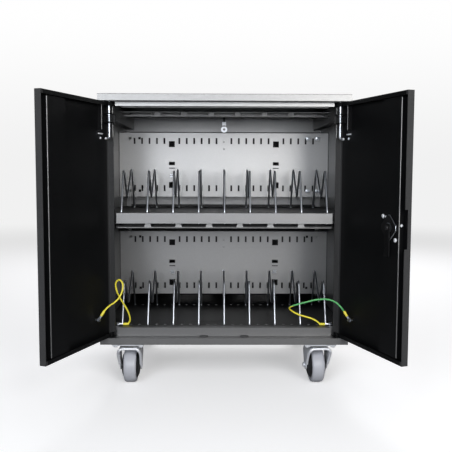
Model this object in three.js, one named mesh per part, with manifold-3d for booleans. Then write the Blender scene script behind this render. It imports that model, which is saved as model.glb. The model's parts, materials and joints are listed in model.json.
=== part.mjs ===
// Laptop charging cart: a folded-steel cabinet on four swivel casters. Two lift-off doors open on two
// levels of wire dividers, and perforated partitions close off a cable compartment at the back.
// Millimetres, +Z up, the front looks towards -Y. Here X is measured from the middle of the cabinet,
// Y from the front edge of the top and Z from the floor; the finished cart is then centred on its box.

import * as THREE from 'three';
import { mergeVertices } from 'three/addons/utils/BufferGeometryUtils.js';
import Module from 'manifold-3d';

const wasm = await Module();
wasm.setup();

// Clearances
const SEAT_GAP = 0.3;             // between pieces that are bolted together or rest on each other
const RUN_GAP = 0.4;              // round a pin, axle or spindle that turns
const SWING_CLEARANCE = 3;        // round the back corner of a swinging door
const DOOR_CLEARANCE = 1.5;       // above and below a door
const MEETING_GAP = 4;            // between the two closed doors
const CUT = 1;                    // overrun of a cutting body

// Facets of round forms
const BOLT_SIDES = 12;
const LOCK_SIDES = 16;
const NUT_SIDES = 6;
const BARREL_SIDES = 8;
const RING_SIDES = 10;
const WHEEL_FACETS = 16;
const RACEWAY_SIDES = 14;
const WIRE_SIDES = 6;
const WIRE_BEND_STEPS = 3;
const SPRING_SIDES = 5;
const SPRING_STEPS = 8;           // along one turn
const CORD_SIDES = 8;
const CORD_STEPS = 26;
const CORNER_STEPS = 3;           // round a drawn corner

// Cabinet body
const BODY_WIDTH = 600;
const BODY_DEPTH = 490;
const OPENING_HEIGHT = 568;       // between the base and the top
const RIM_HEIGHT = 16;            // folded rims of the top and the base
const SHEET = 1.5;
const TOP_RETURN = 24;
const BASE_RETURN_MARGIN = 5;     // base flange beyond the caster plates
const REAR_PAN_DEPTH = 6;
const SIDE_FLANGE = 15;

// Vents and power inlet in the rear panel
const VENT_ROWS = 5;
const VENT_LENGTH = 120;
const VENT_HEIGHT = 6;
const VENT_PITCH = 14;
const VENT_INSET = 45;
const VENT_COLUMN = 100;
const HOOD_DEPTH = 8;             // of the louvre before each vent
const HOOD_OVERLAP = 2;           // below the vent
const INLET_WIDTH = 27;
const INLET_HEIGHT = 20;
const INLET_LENGTH = 28;
const INLET_WALL = 2;
const INLET_FLANGE = 11;
const INLET_FLANGE_THICKNESS = 2;
const INLET_RECESS = 19;
const INLET_BLADE = 11;
const INLET_BLADE_WIDTH = 2;
const INLET_BLADE_HEIGHT = 4;
const INLET_BLADE_PITCH = 7;
const INLET_BLADE_STAGGER = 2;    // middle blade up, outer blades down
const INLET_X = 220;
const INLET_RISE = 55;

// Doors
const DOOR_DEPTH = 15;
const DOOR_SHEET = 1.2;
const DOOR_LIP = 9;
const PIN_INSET = 26;             // pin axis from the side of the body
const PIN_SETBACK = 12;           // pin axis from the front edge of the top
const HINGE_END = 20;             // door beyond the pin axis
const DOOR_MAX_ANGLE = 120;
const LEFT_DOOR_ANGLE = 110.1;
const RIGHT_DOOR_ANGLE = 109;
const HAT_WIDTH = 65;
const HAT_EDGE = 22;              // stiffener from the free edge
const HAT_END_GAP = 11;
const HAT_SETBACK = 0.4;
const NOTCH_HEIGHT = 81;
const NOTCH_DEPTH = 7;

// Sprung hinge pins and lower pivots
const PIN_RADIUS = 3;
const PIN_ENTRY = 4;              // pin tip above the underside of the top
const BRACKET_DROP = 26;
const BRACKET_HEIGHT = 23;
const BRACKET_PLATE = 2;
const BRACKET_REACH = 7;
const BRACKET_PROUD = 6;
const GUARD_FROM_PIN = 28;        // upright beside the pin
const GUARD_DROP = 4;
const GUARD_HEIGHT = 63;
const GUARD_SETBACK = 4;
const COVER_HALF = 12;            // tab over the pin at the top of the door
const COVER_PROUD = 5;
const COLLAR_RADIUS = 5.6;
const COLLAR_HEIGHT = 2;
const LEVER_DROP = 36;
const LEVER_REACH = 9;
const LEVER_BEND = 5;
const SPRING_RADIUS = 5;
const SPRING_WIRE = 1.1;
const SPRING_TURNS = 4.5;
const PIVOT_TAB = 8;
const PIVOT_TAB_THICKNESS = 2.5;
const PIVOT_HEAD = 7;

// Lock on the right door
const LOCK_FROM_PIN = 215;
const LOCK_RISE = 283;            // above the bottom of the door
const BARREL_RADIUS = 11;
const ROSE_RADIUS = 19;
const ROSE_HEIGHT = 6;
const SPINDLE_RADIUS = 5;
const SPINDLE_END = 8;
const KNOB_RADIUS = 16;
const KNOB_HEIGHT = 7;
const GRIP_LENGTH = 40;
const GRIP_HEIGHT = 13;
const GRIP_THICKNESS = 14;
const PLATE_REACH = 27;
const PLATE_CLIP = 5;
const PLATE_CORNERS = 4;
const LOCK_PLATE_THICKNESS = 2;
const CAM_LENGTH = 70;
const CAM_WIDTH = 18;
const CAM_THICKNESS = 3;
const CAM_GAP = 1.1;

// Top frame under the top panel
const RAIL_LEDGE = 2;             // front edge of the hinge ledge
const RAIL_FACE = 20;
const RAIL_DROP = 11;
const RAIL_RETURN = 9;
const SIDE_RAIL_WIDTH = 23;
const SIDE_RAIL_HEIGHT = 37;
const SIDE_RAIL_HOLE = 3;
const TOP_BAR_FRONT = 190;
const TOP_BAR_BACK = 275;
const TOP_BAR_DROP = 9;
const TOP_BAR_LIP = 6;
const BAR_SLOT_PITCH = 75;
const BAR_LAND = 16;
const BAR_SLOT_MARGIN = 14;
const EYE_WIDTH = 12.6;
const EYE_RING = 9;
const EYE_HOLE = 4.5;
const EYE_LENGTH = 40;            // top of the tab to the middle of its ring
const EYE_THICKNESS = 2;

// Shelf and tray
const TRAY_RISE = 21;             // tray floor above the base
const SHELF_RISE = 280.5;         // shelf above the tray floor
const SHELF_FRONT = 23;
const SHELF_BACK = 369;
const SHELF_SKIRT = 25;
const SHELF_BAR_FRONT = 42;
const SHELF_BAR_BACK = 100;
const SHELF_BAR_DROP = 32;
const SHELF_BAR_LIP = 5;
const SHELF_BAR_INSET = 34;

// Wire dividers
const DIVIDERS = 9;
const DIVIDER_PITCH = 63.5;
const HOLES_PER_PITCH = 3;
const WIRE_RADIUS = 2.5;
const WIRE_BEND = 10;
const FOOT_HOLE = 6;
const FOOT_CLEARANCE = 2;
const FOOT_RISE = 3;              // straight foot above the shelf
const FRONT_FOOT = 58.8;
const FRONT_PEAK = 103;
const VALLEY = 163;
const REAR_PEAK = 258;
const REAR_FOOT = 311.5;
const PEAK_HEIGHT = 111;
const VALLEY_HEIGHT = 32;

// Partitions
const PARTITION_FACE = 327;
const PARTITION_HEIGHT = 182;
const PARTITION_LIFT = 30;
const PARTITION_FLANGE = 14;
const SLOT_PITCH = 21.17;
const SLOTS_PER_SIDE = 12;
const SLOT_SKIPPED = 7;
const SLOT_WIDTH = 5;
const SLOT_HEIGHT = 17;
const SLOT_ROW = 67;
const WINDOW = 17;
const WINDOW_ROW = 58;
const HATCH_HEIGHT = 9.5;
const HATCH_ROW = 3;
const SLIT_HEIGHT = 2.5;
const SLIT_ROW = -10;
const SCREW_HOLE = 7;
const SCREW_ROW = 74.5;
const SCREW_INNER = 240;
const SCREW_OUTER = 267;

// Power strips
const STRIP_LENGTH = 440;
const STRIP_HEIGHT = 44;
const STRIP_DEPTH = 40;
const STRIP_RISE = 130;           // middle of the lower strip above the tray
const STRIP_CLEARANCE = 8.5;      // upper strip below the vents
const OUTLETS = 8;
const OUTLET_SIZE = 30;
const OUTLET_PITCH = 46;
const OUTLET_PROUD = 1.5;
const SWITCH_WIDTH = 14;
const SWITCH_HEIGHT = 24;
const SWITCH_PROUD = 4;
const SWITCH_X = 205;

// Casters
const CASTER_HEIGHT = 114;
const CASTER_INSET = 65;          // kingpin from the side of the body
const CASTER_FRONT = 50;
const CASTER_BACK = 65;           // rear kingpin from the back of the body
const CASTER_PLATE = 76;
const CASTER_PLATE_THICKNESS = 6;
const RACEWAY_RADIUS = 25;
const RACEWAY_HEIGHT = 7;
const RACEWAY_CHAMFER = 3;
const RACEWAY_NECK = 2;
const KINGPIN_RADIUS = 5;
const KINGPIN_NUT_RADIUS = 9;
const KINGPIN_NUT_HEIGHT = 7;
const FORK_PLATE = 3;
const CROWN_WIDTH = 58;
const CROWN_CORNER = 14;
const CROWN_REACH = 27;
const CROWN_LIP = 6;              // front edge of the crown
const SHOULDER_DROP = 22;
const LEG_BACK = 46;              // back corner of a leg from the kingpin
const LEG_BACK_DROP = 14;
const AXLE_SPACE = 48;            // between the fork legs at the axle
const LEG_END_RADIUS = 12;
const AXLE_RADIUS = 4;
const AXLE_HEAD_RADIUS = 6.5;
const AXLE_HEAD_HEIGHT = 7;
const TRAIL = 27;
const WHEEL_RADIUS = 44.5;
const WHEEL_WIDTH = 31.5;
const TREAD_WIDTH = 18;
const TYRE_DEPTH = 12;
const HUB_RADIUS = 11;
const HUB_SIDE_GAP = 1.2;
const WEB_THICKNESS = 14;
const HUB_FILLET = 1;
const RIM_FILLET = 2;
const TYRE_SHOULDER = 4;
const TYRE_BEVEL = 1;
const CASTER_TURNS = { front_left: 1, front_right: 4, rear_left: -6, rear_right: 8 };

// Ground cords, with a ring lug on each door and on the tray
const CORD_RADIUS = 2.1;
const CORD_LEAD = 6;              // straight run out of a lug
const LUG_STUD_RADIUS = 2.5;
const LUG_NUT_RADIUS = 4.6;
const LUG_NUT_HEIGHT = 3.5;
const LUG_RING_RADIUS = 5.5;
const LUG_RING_THICKNESS = 1.2;
const LUG_BARREL_RADIUS = 2.8;
const DOOR_LUG_FROM_PIN = 50;
const DOOR_LUG_RISE = 51;
const DOOR_LUG_HEIGHT = 8;
const DOOR_LUG_REACH = [-6.1, 6, 12.4];
const FLOOR_LUG_INSET = 36;
const FLOOR_LUG_BACK = 50;
const FLOOR_LUG_HEIGHT = 3;
const FLOOR_LUG_REACH = 17.5;
// Points of the cords: inwards from the pin axis, back from the front edge of the top, above the tray
const LEFT_CORD_ROUTE = [
  [-4.4, -23, 57.9], [2, -18.5, 63], [12.8, -11, 70], [22.6, -4, 80.8], [29, 2, 96.7],
  [28.8, 6.5, 111.5], [20, 11, 120], [11.2, 15, 111.5], [12, 19, 93.7], [18.4, 24, 75.6],
  [26, 29, 59.8], [34.4, 34, 43.9], [39.6, 40, 27.7], [40.6, 45, 17.5], [38.8, 48.5, 9],
];
const RIGHT_CORD_ROUTE = [
  [-6, -17.5, 56.6], [-1.6, -14.5, 61.4], [6.5, -9, 68.6], [17.7, -4, 73.4], [31.4, 1, 75],
  [54.5, 8, 71.7], [77.9, 14, 64.6], [96.6, 20, 58.3], [109, 27, 52.4], [113.4, 33.5, 47.2],
  [111, 40.5, 41.4], [102.6, 46, 34.6], [89.4, 49, 27.4], [72.7, 50, 22], [57.7, 50, 17.6],
  [43.6, 50, 10.4],
];

// Finishes
const POWDER_COAT = { color: 0x2e3033, roughness: 0.55, metalness: 0.2 };
const DOOR_COAT = { color: 0x1d1e20, roughness: 0.35, metalness: 0.2 };
const ZINC = { color: 0xb9bcc0, roughness: 0.3, metalness: 0.9 };
const BLACK_PLASTIC = { color: 0x1a1a1b, roughness: 0.5, metalness: 0 };
const RUBBER = { color: 0x9b9ea1, roughness: 0.7, metalness: 0 };
const YELLOW_CORD = { color: 0xd9c21a, roughness: 0.5, metalness: 0 };
const GREEN_CORD = { color: 0x9fbf2e, roughness: 0.5, metalness: 0 };

// Levels and positions that follow from the sizes above
const halfWidth = BODY_WIDTH / 2;
const innerHalf = halfWidth - SHEET;
const fitHalf = innerHalf - SEAT_GAP;
const baseTop = CASTER_HEIGHT + RIM_HEIGHT;
const topBottom = baseTop + OPENING_HEIGHT;
const ventsBottom = topBottom - VENT_INSET - (VENT_ROWS - 1) * VENT_PITCH - VENT_HEIGHT / 2 - HOOD_OVERLAP;
const trayTop = baseTop + TRAY_RISE;
const shelfTop = trayTop + SHELF_RISE;
const rearRim = BODY_DEPTH - REAR_PAN_DEPTH;
const sideRear = rearRim - SEAT_GAP;
const trayBack = sideRear - SHEET - SEAT_GAP;
const pinX = halfWidth - PIN_INSET;
const doorSwing = Math.hypot(HINGE_END, DOOR_DEPTH);
const sideGap = innerHalf - pinX;
const sideFront = PIN_SETBACK + Math.sqrt(Math.max(0, doorSwing ** 2 - sideGap ** 2)) + SWING_CLEARANCE;
const notchBack = PIN_SETBACK + doorSwing + SWING_CLEARANCE;
const lipHalf = pinX + HINGE_END * Math.cos(THREE.MathUtils.degToRad(DOOR_MAX_ANGLE)) - SWING_CLEARANCE;
const frameTop = topBottom - SEAT_GAP;
const doorBottom = baseTop + DOOR_CLEARANCE;
const doorTop = frameTop - SHEET - DOOR_CLEARANCE;
const doorReach = pinX - MEETING_GAP / 2;
const lockHeight = doorBottom + LOCK_RISE;
const earTop = doorTop - BRACKET_DROP;
const earBottom = earTop - BRACKET_HEIGHT;
const collarTop = earTop - BRACKET_PLATE - SEAT_GAP;
const boltHole = (PIN_RADIUS + RUN_GAP) / Math.cos(Math.PI / BOLT_SIDES);
const lockHole = (BARREL_RADIUS + SEAT_GAP) / Math.cos(Math.PI / LOCK_SIDES);
const axleHeight = WHEEL_RADIUS * Math.cos(Math.PI / WHEEL_FACETS);
const casterPlateBottom = CASTER_HEIGHT - SEAT_GAP - CASTER_PLATE_THICKNESS;
const crownTop = casterPlateBottom - RACEWAY_HEIGHT - RUN_GAP;

// A closed geometry as a solid for joining and cutting
function solidOf(geometry) {
  const bare = geometry.clone();
  bare.deleteAttribute('normal');
  bare.deleteAttribute('uv');
  const welded = mergeVertices(bare);
  return new wasm.Manifold(new wasm.Mesh({
    numProp: 3,
    vertProperties: new Float32Array(welded.attributes.position.array),
    triVerts: new Uint32Array(welded.index.array),
  }));
}

function geometryOf(solid) {
  const mesh = solid.getMesh();
  const geometry = new THREE.BufferGeometry();
  geometry.setAttribute('position', new THREE.BufferAttribute(mesh.vertProperties, 3));
  geometry.setIndex(new THREE.BufferAttribute(mesh.triVerts, 1));
  const faceted = geometry.toNonIndexed();
  faceted.computeVertexNormals();
  return faceted;
}

const join = (...solids) => solids.reduce((whole, piece) => whole.add(piece));
const cut = (solid, ...tools) => tools.reduce((rest, tool) => rest.subtract(tool), solid);

// A block between two limits along each axis, in either order
function block(xs, ys, zs) {
  const limits = [xs, ys, zs];
  const size = limits.map(([from, to]) => Math.abs(to - from));
  const middle = limits.map(([from, to]) => (from + to) / 2);
  return solidOf(new THREE.BoxGeometry(...size).translate(...middle));
}

// A round bar between two points
function rod(from, to, radius, sides) {
  const start = new THREE.Vector3(...from);
  const run = new THREE.Vector3(...to).sub(start);
  const geometry = new THREE.CylinderGeometry(radius, radius, run.length(), sides);
  geometry.translate(0, run.length() / 2, 0);
  geometry.applyQuaternion(new THREE.Quaternion().setFromUnitVectors(
    new THREE.Vector3(0, 1, 0),
    run.clone().normalize(),
  ));
  return solidOf(geometry.translate(...from));
}

function ngon(sides, radius, x = 0, y = 0) {
  return Array.from({ length: sides }, (_, i) => {
    const angle = (2 * Math.PI * (i + 0.5)) / sides;
    return new THREE.Vector2(x + radius * Math.cos(angle), y + radius * Math.sin(angle));
  });
}

function rectangle(x, y, width, height) {
  const [w, h] = [width / 2, height / 2];
  return [[x - w, y - h], [x + w, y - h], [x + w, y + h], [x - w, y + h]]
    .map(([px, py]) => new THREE.Vector2(px, py));
}

const outline = (points) => new THREE.Shape(points);

const extrude = (shape, depth) => new THREE.ExtrudeGeometry(shape, {
  depth,
  bevelEnabled: false,
  curveSegments: CORNER_STEPS,
});

// A flat shape drawn in X and Y, from a height upwards
const plateXY = (shape, z, depth) => solidOf(extrude(shape, depth).translate(0, 0, z));

// A flat shape drawn in X and Z, from a front plane backwards
function plateXZ(shape, y, depth) {
  return solidOf(extrude(shape, depth).rotateX(Math.PI / 2).translate(0, y + depth, 0));
}

// A flat shape drawn in Y and Z, from a plane towards +X
function plateYZ(shape, x, depth) {
  const turn = new THREE.Matrix4().makeBasis(
    new THREE.Vector3(0, 1, 0),
    new THREE.Vector3(0, 0, 1),
    new THREE.Vector3(1, 0, 0),
  );
  return solidOf(extrude(shape, depth).applyMatrix4(turn).translate(x, 0, 0));
}

// Holes punched through a sheet; plate is one of the three functions above
function punched(solid, plate, holes, from, depth) {
  return cut(solid, ...holes.map((hole) => plate(outline(hole), from - CUT, depth + 2 * CUT)));
}

// A route of straight runs joined by arcs, with one step for each run and a few for each arc
class BentRoute extends THREE.Curve {
  constructor(corners, bendRadius, bendSteps) {
    super();
    const points = corners.map((corner) => new THREE.Vector3(...corner));
    this.stations = [];
    points.forEach((point, i) => {
      const before = points[i - 1];
      const after = points[i + 1];
      const arrive = (before ? point.clone().sub(before) : after.clone().sub(point)).normalize();
      const leave = (after ? after.clone().sub(point) : point.clone().sub(before)).normalize();
      const turn = arrive.angleTo(leave);
      if (!before || !after || turn === 0) {
        this.stations.push({ point, tangent: arrive });
        return;
      }
      const start = point.clone().addScaledVector(arrive, -bendRadius * Math.tan(turn / 2));
      const steps = Math.max(1, Math.round((bendSteps * turn) / (2 * Math.PI / 3)));
      for (let k = 0; k <= steps; k += 1) {
        const done = (turn * k) / steps;
        const scale = 1 / Math.sin(turn);
        const along = (Math.cos(turn - done) - Math.cos(turn)) * scale * bendRadius;
        const across = (1 - Math.cos(done)) * scale * bendRadius;
        this.stations.push({
          point: start.clone().addScaledVector(arrive, along).addScaledVector(leave, across),
          tangent: arrive.clone().multiplyScalar(Math.sin(turn - done) * scale)
            .addScaledVector(leave, Math.sin(done) * scale).normalize(),
        });
      }
    });
    this.steps = this.stations.length - 1;
  }

  at(u) {
    return this.stations[Math.round(u * this.steps)];
  }

  getPointAt(u, target = new THREE.Vector3()) {
    return target.copy(this.at(u).point);
  }

  getTangentAt(u, target = new THREE.Vector3()) {
    return target.copy(this.at(u).tangent);
  }
}

function bentRod(corners, bendRadius, bendSteps, radius, sides) {
  const route = new BentRoute(corners, bendRadius, bendSteps);
  return new THREE.ExtrudeGeometry(outline(ngon(sides, radius)), {
    steps: route.steps,
    extrudePath: route,
  });
}

// Top and base: pans with folded rims and a flange turned in along the lower edge
function rimPan(bottom, returnWidth) {
  const shell = block([-halfWidth, halfWidth], [0, BODY_DEPTH], [bottom, bottom + RIM_HEIGHT]);
  const hollow = block(
    [-innerHalf, innerHalf],
    [SHEET, BODY_DEPTH - SHEET],
    [bottom + SHEET, bottom + RIM_HEIGHT - SHEET],
  );
  const mouth = block(
    [-halfWidth + returnWidth, halfWidth - returnWidth],
    [returnWidth, BODY_DEPTH - returnWidth],
    [bottom - CUT, bottom + SHEET + CUT],
  );
  return cut(shell, hollow, mouth);
}

const pinHoles = (zs) => [-1, 1].map((side) => rod(
  [side * pinX, PIN_SETBACK, zs[0]],
  [side * pinX, PIN_SETBACK, zs[1]],
  boltHole,
  BOLT_SIDES,
));

const topPanel = () => cut(
  rimPan(topBottom, TOP_RETURN),
  ...pinHoles([topBottom - CUT, topBottom + SHEET + CUT]),
);

const basePan = () => cut(
  rimPan(CASTER_HEIGHT, CASTER_INSET + CASTER_PLATE / 2 + BASE_RETURN_MARGIN),
  ...pinHoles([baseTop - SHEET - CUT, baseTop + CUT]),
);

function sidePanel(side) {
  const zs = [baseTop + SEAT_GAP, topBottom - SEAT_GAP];
  const flange = halfWidth - SIDE_FLANGE;
  return cut(
    block([side * flange, side * halfWidth], [sideFront, sideRear], zs),
    block(
      [side * (flange - CUT), side * innerHalf],
      [sideFront - CUT, sideRear - SHEET],
      [zs[0] - CUT, zs[1] + CUT],
    ),
  );
}

// Louvre inside a vent: a ledge along its top edge and an apron that hangs from it
function ventHood(x, z, sheetFront) {
  const xs = [x - VENT_LENGTH / 2, x + VENT_LENGTH / 2];
  const top = z + VENT_HEIGHT / 2;
  const apron = sheetFront - HOOD_DEPTH;
  return join(
    block(xs, [apron, sheetFront + SHEET / 2], [top, top + SHEET]),
    block(xs, [apron, apron + SHEET], [z - VENT_HEIGHT / 2 - HOOD_OVERLAP, top + SHEET]),
  );
}

function rearPanel() {
  const zs = [baseTop + SEAT_GAP, topBottom - SEAT_GAP];
  const sheetFront = BODY_DEPTH - SHEET;
  const holes = [rectangle(
    INLET_X,
    baseTop + INLET_RISE,
    INLET_WIDTH + 2 * SEAT_GAP,
    INLET_HEIGHT + 2 * SEAT_GAP,
  )];
  const hoods = [];
  for (let row = 0; row < VENT_ROWS; row += 1) {
    const inset = VENT_INSET + row * VENT_PITCH;
    for (const x of [-VENT_COLUMN, VENT_COLUMN]) {
      for (const z of [baseTop + inset, topBottom - inset]) {
        holes.push(rectangle(x, z, VENT_LENGTH, VENT_HEIGHT));
        hoods.push(ventHood(x, z, sheetFront));
      }
    }
  }
  const pan = cut(
    block([-halfWidth, halfWidth], [rearRim, BODY_DEPTH], zs),
    block([-innerHalf, innerHalf], [rearRim - CUT, sheetFront], [zs[0] + SHEET, zs[1] - SHEET]),
  );
  return join(punched(pan, plateXZ, holes, sheetFront, SHEET), ...hoods);
}

// A flat bar with a row of long slots, between two limits in Y
function slottedBar(half, ys, top) {
  const reach = half - BAR_LAND / 2;
  const perSide = Math.floor(reach / BAR_SLOT_PITCH - (BAR_SLOT_PITCH - BAR_LAND) / (2 * BAR_SLOT_PITCH));
  const middle = (ys[0] + ys[1]) / 2;
  const slots = [];
  for (let k = -perSide; k <= perSide; k += 1) {
    slots.push(rectangle(
      k * BAR_SLOT_PITCH,
      middle,
      BAR_SLOT_PITCH - BAR_LAND,
      ys[1] - ys[0] - 2 * BAR_SLOT_MARGIN,
    ));
  }
  return punched(block([-half, half], ys, [top - SHEET, top]), plateXY, slots, top - SHEET, SHEET);
}

// Welded frame: hinge ledge and front rail, two side rails and a slotted bar between them
function topFrame() {
  const ledge = [frameTop - SHEET, frameTop];
  const railBottom = topBottom - RAIL_DROP;
  const railInner = fitHalf - SIDE_RAIL_WIDTH;
  const barTop = topBottom - TOP_BAR_DROP;
  const pieces = [
    block([-fitHalf, fitHalf], [RAIL_LEDGE, RAIL_FACE + SHEET], ledge),
    block([-lipHalf, lipHalf], [RAIL_FACE, RAIL_FACE + SHEET], [railBottom, frameTop]),
    block([-lipHalf, lipHalf], [RAIL_FACE, RAIL_FACE + RAIL_RETURN], [railBottom, railBottom + SHEET]),
    slottedBar(railInner + SHEET / 2, [TOP_BAR_FRONT, TOP_BAR_BACK], barTop),
    block(
      [-railInner - SHEET / 2, railInner + SHEET / 2],
      [TOP_BAR_BACK - SHEET, TOP_BAR_BACK],
      [barTop - TOP_BAR_LIP, barTop],
    ),
  ];
  for (const side of [-1, 1]) {
    const inner = side * railInner;
    const outer = side * fitHalf;
    const railZ = frameTop - SIDE_RAIL_HEIGHT;
    pieces.push(
      block([inner, inner + side * SHEET], [notchBack, trayBack], [railZ, frameTop]),
      block([inner, outer], [notchBack, trayBack], [railZ, railZ + SHEET]),
      block([inner, outer], [RAIL_FACE, trayBack], ledge),
    );
  }
  const holeY = trayBack - SIDE_FLANGE;
  const holeZ = frameTop - SIDE_RAIL_HEIGHT / 2;
  return cut(
    join(...pieces),
    rod([-fitHalf, holeY, holeZ], [fitHalf, holeY, holeZ], SIDE_RAIL_HOLE, BARREL_SIDES),
    ...pinHoles([frameTop - SHEET - CUT, frameTop + CUT]),
  );
}

// Tab with a ring, fixed behind the lip of the slotted bar
function padlockEye() {
  const top = topBottom - TOP_BAR_DROP;
  const ringZ = top - EYE_LENGTH;
  const half = EYE_WIDTH / 2;
  const meet = Math.asin(half / EYE_RING);
  const shape = new THREE.Shape();
  shape.moveTo(half, top);
  shape.lineTo(-half, top);
  shape.absarc(0, ringZ, EYE_RING, Math.PI / 2 + meet, 2.5 * Math.PI - meet, false);
  shape.closePath();
  const front = TOP_BAR_BACK + SEAT_GAP;
  const tab = plateXZ(shape, front, EYE_THICKNESS);
  return punched(tab, plateXZ, [ngon(RING_SIDES, EYE_HOLE, 0, ringZ)], front, EYE_THICKNESS);
}

// Shelf or tray: a pressed pan with notched front corners and two rows of holes for the divider feet
function shelfPan(top, skirt, back) {
  const pan = (inset) => {
    const [lip, side, front, notch, rear] = [
      lipHalf - inset, fitHalf - inset, SHELF_FRONT + inset, notchBack + inset, back - inset,
    ];
    return outline([
      [-lip, front], [lip, front], [lip, notch], [side, notch],
      [side, rear], [-side, rear], [-side, notch], [-lip, notch],
    ].map(([x, y]) => new THREE.Vector2(x, y)));
  };
  const holePitch = DIVIDER_PITCH / HOLES_PER_PITCH;
  const lastHole = ((DIVIDERS - 1) / 2) * HOLES_PER_PITCH;
  const holes = [];
  for (let k = -lastHole; k <= lastHole; k += 1) {
    for (const row of [FRONT_FOOT, REAR_FOOT]) {
      holes.push(rectangle(k * holePitch, row, FOOT_HOLE, FOOT_HOLE));
    }
  }
  const pressed = cut(
    plateXY(pan(0), top - skirt, skirt),
    plateXY(pan(SHEET), top - skirt - CUT, skirt - SHEET + CUT),
  );
  return punched(pressed, plateXY, holes, top - SHEET, SHEET);
}

const floorTray = () => shelfPan(trayTop, TRAY_RISE - SEAT_GAP, trayBack);

// The shelf also carries a slotted bar that hangs from its underside
function upperShelf() {
  const half = fitHalf - SHELF_BAR_INSET;
  const barTop = shelfTop - SHELF_BAR_DROP;
  return join(
    shelfPan(shelfTop, SHELF_SKIRT, SHELF_BACK),
    slottedBar(half, [SHELF_BAR_FRONT, SHELF_BAR_BACK], barTop),
    block(
      [-half, half],
      [SHELF_BAR_FRONT, SHELF_BAR_FRONT + SHEET],
      [barTop - SHEET - SHELF_BAR_LIP, barTop],
    ),
    block([-half, half], [SHELF_BAR_BACK - SHEET, SHELF_BAR_BACK], [barTop - SHEET, shelfTop - SHEET / 2]),
  );
}

// Perforated sheet with flanges turned back along its edges
function partition(bottom) {
  const top = bottom + PARTITION_HEIGHT;
  const middle = (bottom + top) / 2;
  const holes = [];
  for (const side of [-1, 1]) {
    const column = side * SLOT_SKIPPED * SLOT_PITCH;
    for (const row of [-1, 1]) {
      for (let k = 1; k <= SLOTS_PER_SIDE; k += 1) {
        if (k !== SLOT_SKIPPED) {
          holes.push(rectangle(side * k * SLOT_PITCH, middle + row * SLOT_ROW, SLOT_WIDTH, SLOT_HEIGHT));
        }
      }
      holes.push(rectangle(column, middle + row * WINDOW_ROW, WINDOW, WINDOW));
      for (const x of [SCREW_INNER, SCREW_OUTER]) {
        holes.push(rectangle(side * x, middle + row * SCREW_ROW, SCREW_HOLE, SCREW_HOLE));
      }
    }
    holes.push(rectangle(column, middle + HATCH_ROW, WINDOW, HATCH_HEIGHT));
    holes.push(rectangle(column, middle + SLIT_ROW, WINDOW, SLIT_HEIGHT));
  }
  const folded = cut(
    block([-fitHalf, fitHalf], [PARTITION_FACE, PARTITION_FACE + PARTITION_FLANGE], [bottom, top]),
    block(
      [SHEET - fitHalf, fitHalf - SHEET],
      [PARTITION_FACE + SHEET, PARTITION_FACE + PARTITION_FLANGE + CUT],
      [bottom - CUT, top - SHEET],
    ),
  );
  return punched(folded, plateXZ, holes, PARTITION_FACE, SHEET);
}

// One wire bent to an M, drawn about its own shelf; the feet pass through the holes
function dividerWire(footDepth) {
  return bentRod(
    [
      [0, FRONT_FOOT, -footDepth],
      [0, FRONT_FOOT, FOOT_RISE],
      [0, FRONT_PEAK, PEAK_HEIGHT],
      [0, VALLEY, VALLEY_HEIGHT],
      [0, REAR_PEAK, PEAK_HEIGHT],
      [0, REAR_FOOT, FOOT_RISE],
      [0, REAR_FOOT, -footDepth],
    ],
    WIRE_BEND,
    WIRE_BEND_STEPS,
    WIRE_RADIUS,
    WIRE_SIDES,
  );
}

// Power strip on the rear panel, with raised outlet faces and a rocker switch towards the front
function powerStrip(z) {
  const back = BODY_DEPTH - SHEET - SEAT_GAP;
  const face = back - STRIP_DEPTH;
  const body = block(
    [-STRIP_LENGTH / 2, STRIP_LENGTH / 2],
    [face, back],
    [z - STRIP_HEIGHT / 2, z + STRIP_HEIGHT / 2],
  );
  const outlets = Array.from({ length: OUTLETS }, (_, i) => {
    const x = (i - OUTLETS / 2) * OUTLET_PITCH;
    const frame = outline(rectangle(x, z, OUTLET_SIZE, OUTLET_SIZE));
    return plateXZ(frame, face - OUTLET_PROUD, OUTLET_PROUD + CUT);
  });
  const rocker = block(
    [SWITCH_X - SWITCH_WIDTH / 2, SWITCH_X + SWITCH_WIDTH / 2],
    [face - SWITCH_PROUD, face + CUT],
    [z - SWITCH_HEIGHT / 2, z + SWITCH_HEIGHT / 2],
  );
  return join(body, ...outlets, rocker);
}

// Appliance inlet: a flanged box with a recess and three blades, open to the back
function powerInlet() {
  const z = baseTop + INLET_RISE;
  const mouth = BODY_DEPTH + SEAT_GAP + INLET_FLANGE_THICKNESS;
  const span = (half) => [INLET_X - half, INLET_X + half];
  const height = (half) => [z - half, z + half];
  const shell = join(
    block(span(INLET_WIDTH / 2), [mouth - INLET_LENGTH, mouth], height(INLET_HEIGHT / 2)),
    block(
      span(INLET_WIDTH / 2 + INLET_FLANGE),
      [mouth - INLET_FLANGE_THICKNESS, mouth],
      height(INLET_HEIGHT / 2 + INLET_WALL),
    ),
  );
  const recess = block(
    span(INLET_WIDTH / 2 - INLET_WALL),
    [mouth - INLET_RECESS, mouth + CUT],
    height(INLET_HEIGHT / 2 - INLET_WALL),
  );
  const blades = [-1, 0, 1].map((k) => {
    const x = INLET_X + k * INLET_BLADE_PITCH;
    const bladeZ = z + (k === 0 ? INLET_BLADE_STAGGER : -INLET_BLADE_STAGGER);
    return block(
      [x - INLET_BLADE_WIDTH / 2, x + INLET_BLADE_WIDTH / 2],
      [mouth - INLET_RECESS - CUT, mouth - INLET_RECESS + INLET_BLADE],
      [bladeZ - INLET_BLADE_HEIGHT / 2, bladeZ + INLET_BLADE_HEIGHT / 2],
    );
  });
  return join(cut(shell, recess), ...blades);
}

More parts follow.
